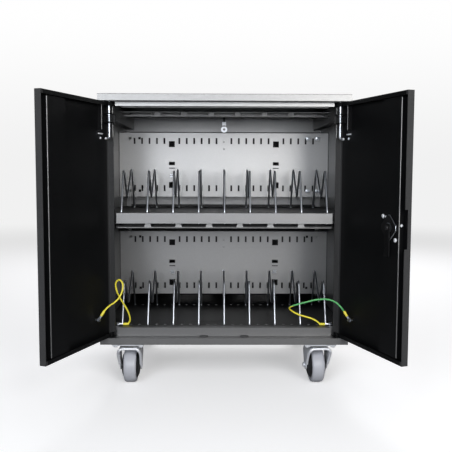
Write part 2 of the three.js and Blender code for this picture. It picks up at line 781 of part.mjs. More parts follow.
// Doors are drawn closed, about their own pin axis: x runs along the door, y from the inside plane.
// side is 1 for the left door, whose free edge lies towards +x, and -1 for the right one.
function doorPan(side) {
  const along = (from, to) => [side * from, side * to];
  const skin = -DOOR_DEPTH;
  const ends = [DOOR_SHEET - HINGE_END, doorReach - DOOR_SHEET];
  const pan = cut(
    block(along(-HINGE_END, doorReach), [skin, 0], [doorBottom, doorTop]),
    block(along(...ends), [skin + DOOR_SHEET, -DOOR_SHEET], [doorBottom + DOOR_SHEET, doorTop - DOOR_SHEET]),
    block(along(...ends), [-DOOR_SHEET - CUT, CUT], [doorBottom + DOOR_LIP, doorTop - DOOR_LIP]),
  );
  const cover = join(
    block([-COVER_HALF, COVER_HALF], [-DOOR_SHEET, COVER_PROUD], [doorTop - DOOR_SHEET, doorTop]),
    block([-COVER_HALF, COVER_HALF], [COVER_PROUD - DOOR_SHEET, COVER_PROUD], [doorTop - DOOR_LIP, doorTop]),
  );
  const guard = block(
    along(GUARD_FROM_PIN, GUARD_FROM_PIN + BRACKET_PLATE),
    [skin + DOOR_SHEET / 2, -GUARD_SETBACK],
    [doorTop - GUARD_DROP - GUARD_HEIGHT, doorTop - GUARD_DROP],
  );
  const hatEnds = [doorReach - HAT_EDGE - HAT_WIDTH, doorReach - HAT_EDGE];
  const hatZs = [doorBottom + HAT_END_GAP, doorTop - HAT_END_GAP];
  const hat = cut(
    block(along(...hatEnds), [skin + DOOR_SHEET / 2, -HAT_SETBACK], hatZs),
    block(
      along(hatEnds[0] + DOOR_SHEET, hatEnds[1] - DOOR_SHEET),
      [skin + DOOR_SHEET, -HAT_SETBACK - DOOR_SHEET],
      [hatZs[0] - CUT, hatZs[1] + CUT],
    ),
  );
  const bracket = cut(
    block(
      along(DOOR_SHEET / 2 - HINGE_END, BRACKET_REACH),
      [skin + DOOR_SHEET / 2, BRACKET_PROUD],
      [earBottom, earTop],
    ),
    block(
      along(DOOR_SHEET + BRACKET_PLATE - HINGE_END, BRACKET_REACH + CUT),
      [skin + DOOR_SHEET + BRACKET_PLATE, BRACKET_PROUD + CUT],
      [earBottom + BRACKET_PLATE, earTop - BRACKET_PLATE],
    ),
  );
  const pivot = join(
    block([-PIVOT_TAB, PIVOT_TAB], [-PIVOT_TAB, PIVOT_TAB], [doorBottom, doorBottom + PIVOT_TAB_THICKNESS]),
    rod(
      [0, 0, baseTop - SHEET - CUT],
      [0, 0, doorBottom + PIVOT_TAB_THICKNESS + PIVOT_HEAD],
      PIN_RADIUS,
      BOLT_SIDES,
    ),
  );
  const pinWay = rod([0, 0, earBottom - CUT], [0, 0, doorTop + CUT], boltHole, BOLT_SIDES);
  return join(cut(join(pan, cover, bracket), pinWay), hat, guard, pivot);
}

// The right door also has the lock's hole and a notch in its free edge
function rightDoorPan() {
  const lockX = -LOCK_FROM_PIN;
  return cut(
    doorPan(-1),
    rod(
      [lockX, -DOOR_DEPTH - CUT, lockHeight],
      [lockX, CUT, lockHeight],
      lockHole,
      LOCK_SIDES,
    ),
    block(
      [-doorReach - CUT, -doorReach + DOOR_SHEET + CUT],
      [-NOTCH_DEPTH, CUT],
      [lockHeight - NOTCH_HEIGHT / 2, lockHeight + NOTCH_HEIGHT / 2],
    ),
  );
}

// Hinge pin: straight up into the top, with a collar for the spring and a bent lever below
function hingePin() {
  const lever = earBottom - LEVER_DROP;
  const pin = solidOf(bentRod(
    [[0, 0, topBottom + PIN_ENTRY], [0, 0, lever], [0, -LEVER_REACH, lever]],
    LEVER_BEND,
    WIRE_BEND_STEPS,
    PIN_RADIUS,
    RING_SIDES,
  ));
  return join(pin, rod([0, 0, collarTop - COLLAR_HEIGHT], [0, 0, collarTop], COLLAR_RADIUS, BOLT_SIDES));
}

// Spring round the pin, between the lower ear of the bracket and the collar
class SpringCoil extends THREE.Curve {
  constructor(bottom, top) {
    super();
    this.bottom = bottom;
    this.rise = top - bottom;
  }

  getPoint(t, target = new THREE.Vector3()) {
    const angle = 2 * Math.PI * SPRING_TURNS * t;
    return target.set(
      SPRING_RADIUS * Math.cos(angle),
      SPRING_RADIUS * Math.sin(angle),
      this.bottom + this.rise * t,
    );
  }
}

function hingeSpring() {
  const wire = SPRING_WIRE / 2;
  const coil = new SpringCoil(
    earBottom + BRACKET_PLATE + SEAT_GAP + wire,
    collarTop - COLLAR_HEIGHT - SEAT_GAP - wire,
  );
  const steps = Math.round(SPRING_TURNS * SPRING_STEPS);
  const points = coil.getSpacedPoints(steps);
  let least = Infinity;
  points.forEach((point, i) => points.slice(i + SPRING_STEPS / 2).forEach((other) => {
    least = Math.min(least, point.distanceTo(other) - SPRING_WIRE);
  }));
  console.log(`hinge spring: least gap between turns ${least.toFixed(2)} mm`);
  return new THREE.ExtrudeGeometry(outline(ngon(SPRING_SIDES, wire)), { steps, extrudePath: coil });
}

// Lock pieces are drawn about the lock's own axis, which runs along y
const roseFace = -DOOR_DEPTH - SEAT_GAP - ROSE_HEIGHT;
const turned = (profile) => solidOf(new THREE.LatheGeometry(
  profile.map(([radius, height]) => new THREE.Vector2(radius, height)),
  LOCK_SIDES,
));

function lockHousing() {
  const bore = (SPINDLE_RADIUS + RUN_GAP) / Math.cos(Math.PI / LOCK_SIDES);
  const chamfer = ROSE_HEIGHT / 3;
  const seat = -DOOR_DEPTH - SEAT_GAP;
  const inside = LOCK_PLATE_THICKNESS - HAT_SETBACK;
  return turned([
    [bore, roseFace], [ROSE_RADIUS - chamfer, roseFace], [ROSE_RADIUS, roseFace + chamfer],
    [ROSE_RADIUS, seat], [BARREL_RADIUS, seat], [BARREL_RADIUS, inside], [bore, inside],
    [bore, roseFace],
  ]);
}

// Plate inside the door: a square stood on its corner, with the corners clipped
function lockPlate() {
  const corner = [[PLATE_REACH, -PLATE_CLIP], [PLATE_REACH, PLATE_CLIP]];
  const points = Array.from({ length: PLATE_CORNERS }, (_, k) => corner.map(([x, y]) => (
    new THREE.Vector2(x, y).rotateAround(new THREE.Vector2(), (2 * Math.PI * k) / PLATE_CORNERS)
  ))).flat();
  const hole = ngon(LOCK_SIDES, lockHole);
  const seat = SEAT_GAP - HAT_SETBACK;
  return punched(
    plateXZ(outline(points), seat, LOCK_PLATE_THICKNESS),
    plateXZ,
    [hole],
    seat,
    LOCK_PLATE_THICKNESS,
  );
}

const stadium = (length, width) => {
  const shape = new THREE.Shape();
  const straight = length / 2 - width / 2;
  shape.absarc(straight, 0, width / 2, -Math.PI / 2, Math.PI / 2, false);
  shape.absarc(-straight, 0, width / 2, Math.PI / 2, 1.5 * Math.PI, false);
  return shape;
};

// Knob with a bar grip across it, on the outer end of the spindle
function lockHandle() {
  const grip = roseFace - KNOB_HEIGHT;
  const shaft = turned([
    [0, grip - CUT], [KNOB_RADIUS, grip - CUT], [KNOB_RADIUS, roseFace - RUN_GAP],
    [SPINDLE_RADIUS, roseFace - RUN_GAP], [SPINDLE_RADIUS, SPINDLE_END], [0, SPINDLE_END],
  ]);
  return join(shaft, plateXZ(stadium(GRIP_LENGTH, GRIP_HEIGHT), grip - GRIP_THICKNESS, GRIP_THICKNESS));
}

// Cam on the inner end of the spindle, hanging down when the lock is open
function lockCam() {
  const strap = new THREE.Shape();
  const half = CAM_WIDTH / 2;
  strap.absarc(0, 0, half, 0, Math.PI, false);
  strap.lineTo(-half, half - CAM_LENGTH);
  strap.lineTo(half, half - CAM_LENGTH);
  strap.closePath();
  const hole = ngon(BOLT_SIDES, (SPINDLE_RADIUS + SEAT_GAP) / Math.cos(Math.PI / BOLT_SIDES));
  const seat = SEAT_GAP - HAT_SETBACK + LOCK_PLATE_THICKNESS + CAM_GAP;
  return punched(plateXZ(strap, seat, CAM_THICKNESS), plateXZ, [hole], seat, CAM_THICKNESS);
}

// Caster top plate with its raceway, kingpin and nut, drawn about the kingpin
function casterPlate() {
  const half = CASTER_PLATE / 2;
  const raceway = new THREE.LatheGeometry([
    [0, casterPlateBottom - RACEWAY_HEIGHT],
    [RACEWAY_RADIUS - RACEWAY_CHAMFER, casterPlateBottom - RACEWAY_HEIGHT],
    [RACEWAY_RADIUS, casterPlateBottom - RACEWAY_HEIGHT / 2],
    [RACEWAY_RADIUS - RACEWAY_NECK, casterPlateBottom + CUT],
    [0, casterPlateBottom + CUT],
  ].map(([radius, z]) => new THREE.Vector2(radius, z)), RACEWAY_SIDES).rotateX(Math.PI / 2);
  const nutTop = crownTop - FORK_PLATE - RUN_GAP;
  return join(
    block([-half, half], [-half, half], [casterPlateBottom, casterPlateBottom + CASTER_PLATE_THICKNESS]),
    solidOf(raceway),
    rod([0, 0, nutTop - KINGPIN_NUT_HEIGHT], [0, 0, casterPlateBottom], KINGPIN_RADIUS, BOLT_SIDES),
    rod([0, 0, nutTop - KINGPIN_NUT_HEIGHT], [0, 0, nutTop], KINGPIN_NUT_RADIUS, NUT_SIDES),
  );
}

// Pressed fork: an arch seen from the front, trimmed to the outline of its legs seen from the side
function casterFork() {
  const legBottom = axleHeight - LEG_END_RADIUS - CUT;
  const crownHalf = CROWN_WIDTH / 2;
  const shoulder = crownTop - SHOULDER_DROP;
  const arch = new THREE.Shape();
  const slope = (crownHalf - FORK_PLATE - AXLE_SPACE / 2) / (shoulder - axleHeight);
  const footHalf = AXLE_SPACE / 2 - slope * (axleHeight - legBottom);
  arch.moveTo(-footHalf - FORK_PLATE, legBottom);
  arch.lineTo(-footHalf, legBottom);
  arch.lineTo(-crownHalf + FORK_PLATE, shoulder);
  arch.quadraticCurveTo(
    -crownHalf + FORK_PLATE,
    crownTop - FORK_PLATE,
    -crownHalf + CROWN_CORNER,
    crownTop - FORK_PLATE,
  );
  arch.lineTo(crownHalf - CROWN_CORNER, crownTop - FORK_PLATE);
  arch.quadraticCurveTo(crownHalf - FORK_PLATE, crownTop - FORK_PLATE, crownHalf - FORK_PLATE, shoulder);
  arch.lineTo(footHalf, legBottom);
  arch.lineTo(footHalf + FORK_PLATE, legBottom);
  arch.lineTo(crownHalf, shoulder);
  arch.quadraticCurveTo(crownHalf, crownTop, crownHalf - CROWN_CORNER, crownTop);
  arch.lineTo(-crownHalf + CROWN_CORNER, crownTop);
  arch.quadraticCurveTo(-crownHalf, crownTop, -crownHalf, shoulder);
  const leg = new THREE.Shape();
  leg.moveTo(-CROWN_REACH, crownTop + CUT);
  leg.lineTo(-CROWN_REACH, crownTop - CROWN_LIP);
  leg.absarc(TRAIL, axleHeight, LEG_END_RADIUS, Math.PI * 1.2, Math.PI * 2.05, false);
  leg.lineTo(LEG_BACK, crownTop - LEG_BACK_DROP);
  leg.lineTo(CROWN_REACH, crownTop + CUT);
  const pressed = plateXZ(arch, -CROWN_REACH - CUT, CROWN_REACH + LEG_BACK + 2 * CUT)
    .intersect(plateYZ(leg, -crownHalf - CUT, CROWN_WIDTH + 2 * CUT));
  const headFrom = AXLE_SPACE / 2 + FORK_PLATE - CUT;
  const headTo = AXLE_SPACE / 2 + FORK_PLATE + AXLE_HEAD_HEIGHT;
  const across = (x) => [x, TRAIL, axleHeight];
  const kingpinHole = rod(
    [0, 0, shoulder],
    [0, 0, crownTop + CUT],
    KINGPIN_RADIUS + 2 * RUN_GAP,
    BOLT_SIDES,
  );
  return join(
    cut(pressed, kingpinHole),
    rod(across(-headTo), across(headTo), AXLE_RADIUS, BARREL_SIDES),
    rod(across(-headTo), across(-headFrom), AXLE_HEAD_RADIUS, NUT_SIDES),
    rod(across(headFrom), across(headTo), AXLE_HEAD_RADIUS, NUT_SIDES),
  );
}

// Wheel: crowned tyre on a dished hub, turned about its axle along X, standing on one facet
function casterWheel() {
  const bore = (AXLE_RADIUS + RUN_GAP) / Math.cos(Math.PI / WHEEL_FACETS);
  const hubHalf = AXLE_SPACE / 2 - HUB_SIDE_GAP;
  const rim = WHEEL_RADIUS - TYRE_DEPTH;
  const flank = [
    [bore, hubHalf],
    [HUB_RADIUS, hubHalf],
    [HUB_RADIUS + HUB_FILLET, WEB_THICKNESS / 2],
    [rim - RIM_FILLET, WEB_THICKNESS / 2],
    [rim, WHEEL_WIDTH / 2 - TYRE_BEVEL],
    [WHEEL_RADIUS - TYRE_SHOULDER, WHEEL_WIDTH / 2],
    [WHEEL_RADIUS, TREAD_WIDTH / 2],
  ];
  const profile = [
    ...flank.map(([radius, x]) => [radius, -x]),
    ...flank.toReversed(),
    [bore, -hubHalf],
  ];
  const points = profile.map(([radius, x]) => new THREE.Vector2(radius, x));
  const geometry = new THREE.LatheGeometry(points, WHEEL_FACETS, Math.PI / WHEEL_FACETS);
  return solidOf(geometry.rotateZ(-Math.PI / 2).translate(0, TRAIL, axleHeight));
}

// Ring lug: a stud with a nut, the ring under the nut and a crimped barrel that ends at the cord
function ringLug(foot, normal, height, tip) {
  const up = (distance) => foot.map((value, axis) => value + distance * normal[axis]);
  const ring = up(height);
  return join(
    rod(up(SEAT_GAP), ring, LUG_STUD_RADIUS, NUT_SIDES),
    rod(up(height - LUG_RING_THICKNESS), ring, LUG_RING_RADIUS, RING_SIDES),
    rod(ring, up(height + LUG_NUT_HEIGHT), LUG_NUT_RADIUS, NUT_SIDES),
    rod(ring, tip, LUG_BARREL_RADIUS, BARREL_SIDES),
  );
}

function groundCord(route) {
  const curve = new THREE.CatmullRomCurve3(route.map((point) => new THREE.Vector3(...point)));
  return new THREE.ExtrudeGeometry(outline(ngon(CORD_SIDES, CORD_RADIUS)), {
    steps: CORD_STEPS,
    extrudePath: curve,
  });
}

// Assembly
const cart = new THREE.Group();

function place(name, shape, finish, parent = cart) {
  const geometry = shape.isBufferGeometry ? shape : geometryOf(shape);
  const mesh = new THREE.Mesh(geometry, new THREE.MeshStandardMaterial(finish));
  mesh.name = name;
  parent.add(mesh);
  return mesh;
}

place('top_panel', topPanel(), POWDER_COAT);
place('base_pan', basePan(), POWDER_COAT);
place('left_side_panel', sidePanel(-1), POWDER_COAT);
place('right_side_panel', sidePanel(1), POWDER_COAT);
place('rear_panel', rearPanel(), POWDER_COAT);
place('top_frame', topFrame(), POWDER_COAT);
place('padlock_eye', padlockEye(), ZINC);
place('floor_tray', floorTray(), POWDER_COAT);
place('upper_shelf', upperShelf(), POWDER_COAT);
place('lower_partition', partition(trayTop + PARTITION_LIFT), POWDER_COAT);
place('upper_partition', partition(shelfTop + PARTITION_LIFT), POWDER_COAT);
place('lower_power_strip', powerStrip(trayTop + STRIP_RISE), BLACK_PLASTIC);
place(
  'upper_power_strip',
  powerStrip(ventsBottom - STRIP_CLEARANCE - STRIP_HEIGHT / 2),
  BLACK_PLASTIC,
);
place('power_inlet', powerInlet(), BLACK_PLASTIC);

const levels = [
  { name: 'lower', top: trayTop, footDepth: TRAY_RISE - FOOT_CLEARANCE },
  { name: 'upper', top: shelfTop, footDepth: SHELF_BAR_DROP - FOOT_CLEARANCE },
];
for (const level of levels) {
  for (let i = 0; i < DIVIDERS; i += 1) {
    const wire = place(`${level.name}_divider_${i + 1}`, dividerWire(level.footDepth), ZINC);
    wire.position.set((i - (DIVIDERS - 1) / 2) * DIVIDER_PITCH, 0, level.top);
  }
}

// Each door hangs in a group on its pin axis, turned to the angle at which it stands open
function hangDoor(name, side, pan, angle, cordRoute, cordFinish) {
  const hinge = new THREE.Group();
  hinge.position.set(-side * pinX, PIN_SETBACK, 0);
  hinge.rotation.z = -side * THREE.MathUtils.degToRad(angle);
  cart.add(hinge);
  place(`${name}_door`, pan, DOOR_COAT, hinge);
  place(`${name}_hinge_pin`, hingePin(), ZINC, hinge);
  place(`${name}_hinge_spring`, hingeSpring(), ZINC, hinge);

  const doorFoot = [side * DOOR_LUG_FROM_PIN, DOOR_SHEET - DOOR_DEPTH, doorBottom + DOOR_LUG_RISE];
  const [inward, proud, upward] = DOOR_LUG_REACH;
  const doorTip = [
    doorFoot[0] + side * inward,
    doorFoot[1] + DOOR_LUG_HEIGHT + proud,
    doorFoot[2] + upward,
  ];
  place(`${name}_door_lug`, ringLug(doorFoot, [0, 1, 0], DOOR_LUG_HEIGHT, doorTip), ZINC, hinge);
  const floorFoot = [-side * (halfWidth - FLOOR_LUG_INSET), FLOOR_LUG_BACK, trayTop];
  const floorTip = [floorFoot[0] + side * FLOOR_LUG_REACH, floorFoot[1], floorFoot[2] + FLOOR_LUG_HEIGHT];
  place(`${name}_floor_lug`, ringLug(floorFoot, [0, 0, 1], FLOOR_LUG_HEIGHT, floorTip), ZINC);

  hinge.updateMatrixWorld();
  const barrelEnd = hinge.localToWorld(new THREE.Vector3(...doorTip));
  const leave = new THREE.Vector3(side * inward, proud, upward).transformDirection(hinge.matrixWorld);
  const out = (distance) => barrelEnd.clone().addScaledVector(leave, distance).toArray();
  const back = (distance) => [floorTip[0] + side * distance, floorTip[1], floorTip[2]];
  const route = [
    out(SEAT_GAP),
    out(SEAT_GAP + CORD_LEAD),
    ...cordRoute.map(([x, y, z]) => [side * (x - pinX), y, trayTop + z]),
    back(SEAT_GAP + CORD_LEAD),
    back(SEAT_GAP),
  ];
  place(`${name}_ground_cord`, groundCord(route), cordFinish);
  return hinge;
}

hangDoor('left', 1, doorPan(1), LEFT_DOOR_ANGLE, LEFT_CORD_ROUTE, YELLOW_CORD);
const rightHinge = hangDoor('right', -1, rightDoorPan(), RIGHT_DOOR_ANGLE, RIGHT_CORD_ROUTE, GREEN_CORD);

const lock = new THREE.Group();
lock.position.set(-LOCK_FROM_PIN, 0, lockHeight);
rightHinge.add(lock);
place('lock_housing', lockHousing(), ZINC, lock);
place('lock_plate', lockPlate(), DOOR_COAT, lock);
place('lock_handle', lockHandle(), BLACK_PLASTIC, lock);
place('lock_cam', lockCam(), DOOR_COAT, lock);

for (const [corner, turn] of Object.entries(CASTER_TURNS)) {
  const kingpin = new THREE.Group();
  const side = corner.endsWith('left') ? -1 : 1;
  kingpin.position.set(
    side * (halfWidth - CASTER_INSET),
    corner.startsWith('front') ? CASTER_FRONT : BODY_DEPTH - CASTER_BACK,
    0,
  );
  cart.add(kingpin);
  place(`${corner}_caster_plate`, casterPlate(), ZINC, kingpin);
  const swivel = new THREE.Group();
  swivel.rotation.z = THREE.MathUtils.degToRad(turn);
  kingpin.add(swivel);
  place(`${corner}_caster_fork`, casterFork(), ZINC, swivel);
  place(`${corner}_caster_wheel`, casterWheel(), RUBBER, swivel);
}

// The origin is the middle of the cart's footprint, on the floor
const extent = new THREE.Box3().setFromObject(cart, true);
const centre = extent.getCenter(new THREE.Vector3());
cart.position.set(-centre.x, -centre.y, -extent.min.z);

export default cart;
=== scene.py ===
"""Looks of the laptop charging cart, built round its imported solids.

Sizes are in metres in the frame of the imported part. Points given in millimetres are measured as on
the cart's drawing: x from the middle of the cabinet, y from the front edge of the top, z from the
floor. cart() carries them into the frame.
"""

import json
import math

import bmesh
import bpy
import numpy as np
from mathutils import Matrix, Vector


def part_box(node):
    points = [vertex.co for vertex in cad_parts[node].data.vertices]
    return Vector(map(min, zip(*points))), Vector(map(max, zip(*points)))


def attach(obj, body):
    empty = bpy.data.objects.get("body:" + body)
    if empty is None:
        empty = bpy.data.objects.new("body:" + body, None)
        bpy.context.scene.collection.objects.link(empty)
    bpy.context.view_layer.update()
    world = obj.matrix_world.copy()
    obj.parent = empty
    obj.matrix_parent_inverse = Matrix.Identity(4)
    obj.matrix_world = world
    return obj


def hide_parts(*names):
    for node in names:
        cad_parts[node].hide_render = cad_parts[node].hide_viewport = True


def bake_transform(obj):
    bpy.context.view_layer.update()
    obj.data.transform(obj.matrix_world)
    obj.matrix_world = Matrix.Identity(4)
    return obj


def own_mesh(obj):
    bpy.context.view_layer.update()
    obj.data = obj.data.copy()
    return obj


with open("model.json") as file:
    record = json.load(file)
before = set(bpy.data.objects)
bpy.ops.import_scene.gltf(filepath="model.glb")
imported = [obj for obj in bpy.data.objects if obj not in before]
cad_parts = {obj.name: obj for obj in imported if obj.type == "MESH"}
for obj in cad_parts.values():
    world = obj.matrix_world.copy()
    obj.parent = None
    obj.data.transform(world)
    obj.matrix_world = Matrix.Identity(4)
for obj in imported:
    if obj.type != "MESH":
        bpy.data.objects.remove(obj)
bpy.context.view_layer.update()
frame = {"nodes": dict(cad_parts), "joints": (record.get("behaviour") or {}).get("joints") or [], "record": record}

bl_info = {
    "name": "Laptop charging cart",
    "version": (1, 0, 0),
    "blender": (4, 5, 0),
    "location": "3D View > Sidebar > Cart",
    "description": "Builds the looks of a laptop charging cart round its packed solids",
    "category": "Object",
}

MM = 0.001
FRONT = np.array([0.0, -1.0, 0.0])
UP = np.array([0.0, 0.0, 1.0])
LEVELS = {"lower": 151.0, "upper": 431.5}
CORNERS = ("front_left", "front_right", "rear_left", "rear_right")
DIVIDERS = 9
DIVIDER_PITCH = 63.5
JOINTS = {joint["name"]: joint for joint in frame["joints"]}
TOP_LOW, TOP_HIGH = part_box("top_panel")
SHIFT = np.array([(TOP_LOW.x + TOP_HIGH.x) / 2, TOP_LOW.y, 0.0])

# Doors: distances from the pin axis along the door and from its inside plane, in millimetres
DOOR_BOTTOM = 131.5
DOOR_SKIN = -13.8
DOOR_ENDS = (-20.0, 272.0)
HAT_FACE = -0.4
PIN_TOP = 702.0
EAR_BOTTOM = 645.7
COLLAR_TOP = 666.4
LEVER_DROP = 36.0
LEVER_REACH = 9.0

# Satin powder coat: its index of refraction and the share of its sheen. It is one coat throughout: a copy with a
# higher index is painted light on the upper partition and the top frame, and a copy with less sheen is painted
# shade on the base, the shelf, the tray and the header bar
PAINT_IOR = 2.0
PAINT_SHEEN = 0.95
PAINTED_LIGHT_IOR = 2.2
PAINTED_SHADE_SHEEN = 0.74

# Ground cords: points inwards from the pin axis, back from the front edge of the top, above the tray
LUG_GAP = 0.3
CORD_LEAD = 6.0
PIN_X = 274.0
LEFT_ROUTE = [
    (-4.4, -23, 57.9), (2, -18.5, 63), (12.8, -11, 70), (22.6, -4, 80.8), (29, 2, 96.7),
    (28.8, 6.5, 111.5), (20, 11, 120), (11.2, 15, 111.5), (12, 19, 93.7), (18.4, 24, 75.6),
    (26, 29, 59.8), (34.4, 34, 43.9), (39.6, 40, 27.7), (40.6, 45, 17.5), (38.8, 48.5, 9),
]
RIGHT_ROUTE = [
    (-6, -17.5, 56.6), (-1.6, -14.5, 61.4), (6.5, -9, 68.6), (17.7, -4, 73.4), (31.4, 1, 75),
    (54.5, 8, 71.7), (77.9, 14, 64.6), (96.6, 20, 58.3), (109, 27, 52.4), (113.4, 33.5, 47.2),
    (111, 40.5, 41.4), (102.6, 46, 34.6), (89.4, 49, 27.4), (72.7, 50, 22), (57.7, 50, 17.6),
    (43.6, 50, 10.4),
]


def cart(points):
    """Millimetres on the drawing to metres in the frame: scaled, then shifted."""
    return np.asarray(points, float) * MM + SHIFT


def unit(vectors):
    """Vectors divided by their lengths."""
    return vectors / np.linalg.norm(vectors, axis=-1, keepdims=True)


def square_to(axis):
    """Two unit vectors square to an axis and to each other."""
    axis = unit(np.asarray(axis, float))
    helper = np.eye(3)[np.argmin(np.abs(axis))]
    first = unit(np.cross(axis, helper))
    return first, np.cross(axis, first)


class Local:
    """A set of axes in the frame: local millimetres times three unit axes, plus an origin."""

    def __init__(self, origin, axes):
        self.origin = np.asarray(origin, float)
        self.axes = np.asarray(axes, float)

    def __call__(self, points):
        return np.asarray(points, float) * MM @ self.axes + self.origin

    def direction(self, vector):
        return unit(np.asarray(vector, float) @ self.axes)


def door_axes(name):
    """Axes of an open door: x along it from the pin, y square to its inside, z from the floor."""
    joint = JOINTS[f"{name}_door_hinge"]
    low, high = joint["range_deg"]
    turn = math.radians(-high if name == "left" else -low)
    cos, sin = math.cos(turn), math.sin(turn)
    origin = [joint["pos_m"][0], joint["pos_m"][1], 0.0]
    return Local(origin, [[cos, sin, 0], [-sin, cos, 0], [0, 0, 1]])


def wheel_axes(corner):
    """Axes of a caster wheel: x along its axle, y to the rear of the caster, z up."""
    joint = JOINTS[f"{corner}_roll"]
    axle = unit(np.array(joint["axis"]))
    return Local(joint["pos_m"], [axle, np.cross(UP, axle), UP])


def quads(rows, cols, loop):
    """Faces of a grid of rings: each ring closes on itself, and loop joins the last ring to the first."""
    row = np.arange(rows if loop else rows - 1)[:, None]
    col = np.arange(cols)[None, :]
    after = (col + 1) % cols
    below = (row + 1) % rows
    corners = [row * cols + col, row * cols + after, below * cols + after, below * cols + col]
    return np.stack(np.broadcast_arrays(*corners), -1).reshape(-1, 4).tolist()


def skin(rings, loop=False):
    """Rings joined by quads, with a flat face over each end where they don't form a loop."""
    rows, cols = rings.shape[:2]
    faces = quads(rows, cols, loop)
    if not loop:
        faces.append(list(range(cols)))
        faces.append(list(range((rows - 1) * cols, rows * cols)))
    return rings.reshape(-1, 3), faces


def open_grid(grid):
    """Points of a grid of rows and columns, and its faces with all four sides left open."""
    rows, cols = grid.shape[:2]
    first = np.arange(rows - 1)[:, None] * cols + np.arange(cols - 1)[None, :]
    faces = np.stack([first, first + 1, first + cols + 1, first + cols], -1)
    return grid.reshape(-1, 3), faces.reshape(-1, 4).tolist()


def revolved(profile, origin, axis, segments, loop=False):
    """A profile of (radius, height) turned about an axis: origin + h a + r (cos t u + sin t v)."""
    radius, height = np.asarray(profile, float).T * MM
    axis = unit(np.asarray(axis, float))
    u, v = square_to(axis)
    turn = np.linspace(0, 2 * math.pi, segments, endpoint=False)[None, :, None]
    rings = (np.asarray(origin) + height[:, None, None] * axis
             + radius[:, None, None] * (np.cos(turn) * u + np.sin(turn) * v))
    return skin(rings, loop)


def swept_rings(path, radius, sides, facing):
    """A circle carried along a path: p + r (cos t n + sin t b), with n the facing made square to it."""
    tangent = unit(np.gradient(path, axis=0))
    normal = unit(facing - (tangent @ facing)[:, None] * tangent)
    binormal = np.cross(tangent, normal)
    turn = np.linspace(0, 2 * math.pi, sides, endpoint=False)[None, :, None]
    radius = np.broadcast_to(radius, len(path))[:, None, None]
    return path[:, None] + radius * (np.cos(turn) * normal[:, None] + np.sin(turn) * binormal[:, None])


def round_ended(path, radius, steps=4):
    """A path with its ends closed in: stations added over the last radius, and the radius at each."""
    turn = np.linspace(0.12, math.pi / 2, steps)
    lead = (1 - np.sin(turn)) * radius
    lead = np.append(lead, 0)
    first = unit(path[1] - path[0])
    last = unit(path[-1] - path[-2])
    taper = np.append(1 - np.cos(turn), 1) ** 0.5
    start = path[0] + (lead.max() - lead)[:, None] * first
    end = path[-1] - (lead.max() - lead)[:, None] * last
    body = path[1:-1]
    stations = np.concatenate([start, body, end[::-1]])
    widths = np.concatenate([taper, np.ones(len(body)), taper[::-1]]) * radius
    return stations, widths


def bent(corners, bend, steps):
    """Straight runs joined by arcs: each inner corner becomes an arc of one radius, in even steps."""
    corners = np.asarray(corners, float)
    path = [corners[:1]]
    for before, corner, after in zip(corners, corners[1:], corners[2:]):
        arrive, leave = unit(corner - before), unit(after - corner)
        turn = math.acos(np.clip(arrive @ leave, -1, 1))
        done = np.linspace(0, turn, steps)[:, None]
        start = corner - arrive * bend * math.tan(turn / 2)
        along = (np.cos(turn - done) - math.cos(turn)) / math.sin(turn) * bend
        across = (1 - np.cos(done)) / math.sin(turn) * bend
        path.append(start + along * arrive + across * leave)
    path.append(corners[-1:])
    return np.concatenate(path)


def through(points, steps):
    """Centripetal curve through points: cubic runs with tangents from chords to the power one half."""
    p = np.asarray(points, float)
    p = np.concatenate([2 * p[:1] - p[1:2], p, 2 * p[-1:] - p[-2:-1]])
    chord = np.linalg.norm(np.diff(p, axis=0), axis=1)[:, None] ** 0.5
    d0, d1, d2 = chord[:-2], chord[1:-1], chord[2:]
    p0, p1, p2, p3 = p[:-3], p[1:-2], p[2:-1], p[3:]
    t1 = ((p1 - p0) / d0 - (p2 - p0) / (d0 + d1) + (p2 - p1) / d1) * d1
    t2 = ((p2 - p1) / d1 - (p3 - p1) / (d1 + d2) + (p3 - p2) / d2) * d1
    w = np.linspace(0, 1, steps, endpoint=False)[None, :, None]
    a, b = -3 * p1 + 3 * p2 - 2 * t1 - t2, 2 * p1 - 2 * p2 + t1 + t2
    runs = p1[:, None] + t1[:, None] * w + a[:, None] * w ** 2 + b[:, None] * w ** 3
    return np.concatenate([runs.reshape(-1, 3), p2[-1:]])


def bead(ends, radius, facing):
    """A round bead along a fold: a circle carried between two points, closed in at both ends."""
    share = np.linspace(0, 1, 9)[:, None]
    stations, widths = round_ended(ends[0] * (1 - share) + ends[1] * share, radius * MM)
    return skin(swept_rings(stations, widths, 12, facing))


def rounded_slab(local, centre, half, depths, power=4.0, segments=48):
    """Rings of a superellipse |x/a|^p + |z/b|^p = 1 at several depths in y, each drawn in by an inset."""
    turn = np.linspace(0, 2 * math.pi, segments, endpoint=False)
    cos, sin = np.cos(turn), np.sin(turn)
    x = np.sign(cos) * np.abs(cos) ** (2 / power)
    z = np.sign(sin) * np.abs(sin) ** (2 / power)
    depth, inset = np.asarray(depths, float).T
    grid_x = centre[0] + (half[0] - inset)[:, None] * x
    grid_z = centre[2] + (half[1] - inset)[:, None] * z
    grid_y = centre[1] + np.broadcast_to(depth[:, None], grid_x.shape)
    return skin(local(np.stack([grid_x, grid_y, grid_z], -1)))


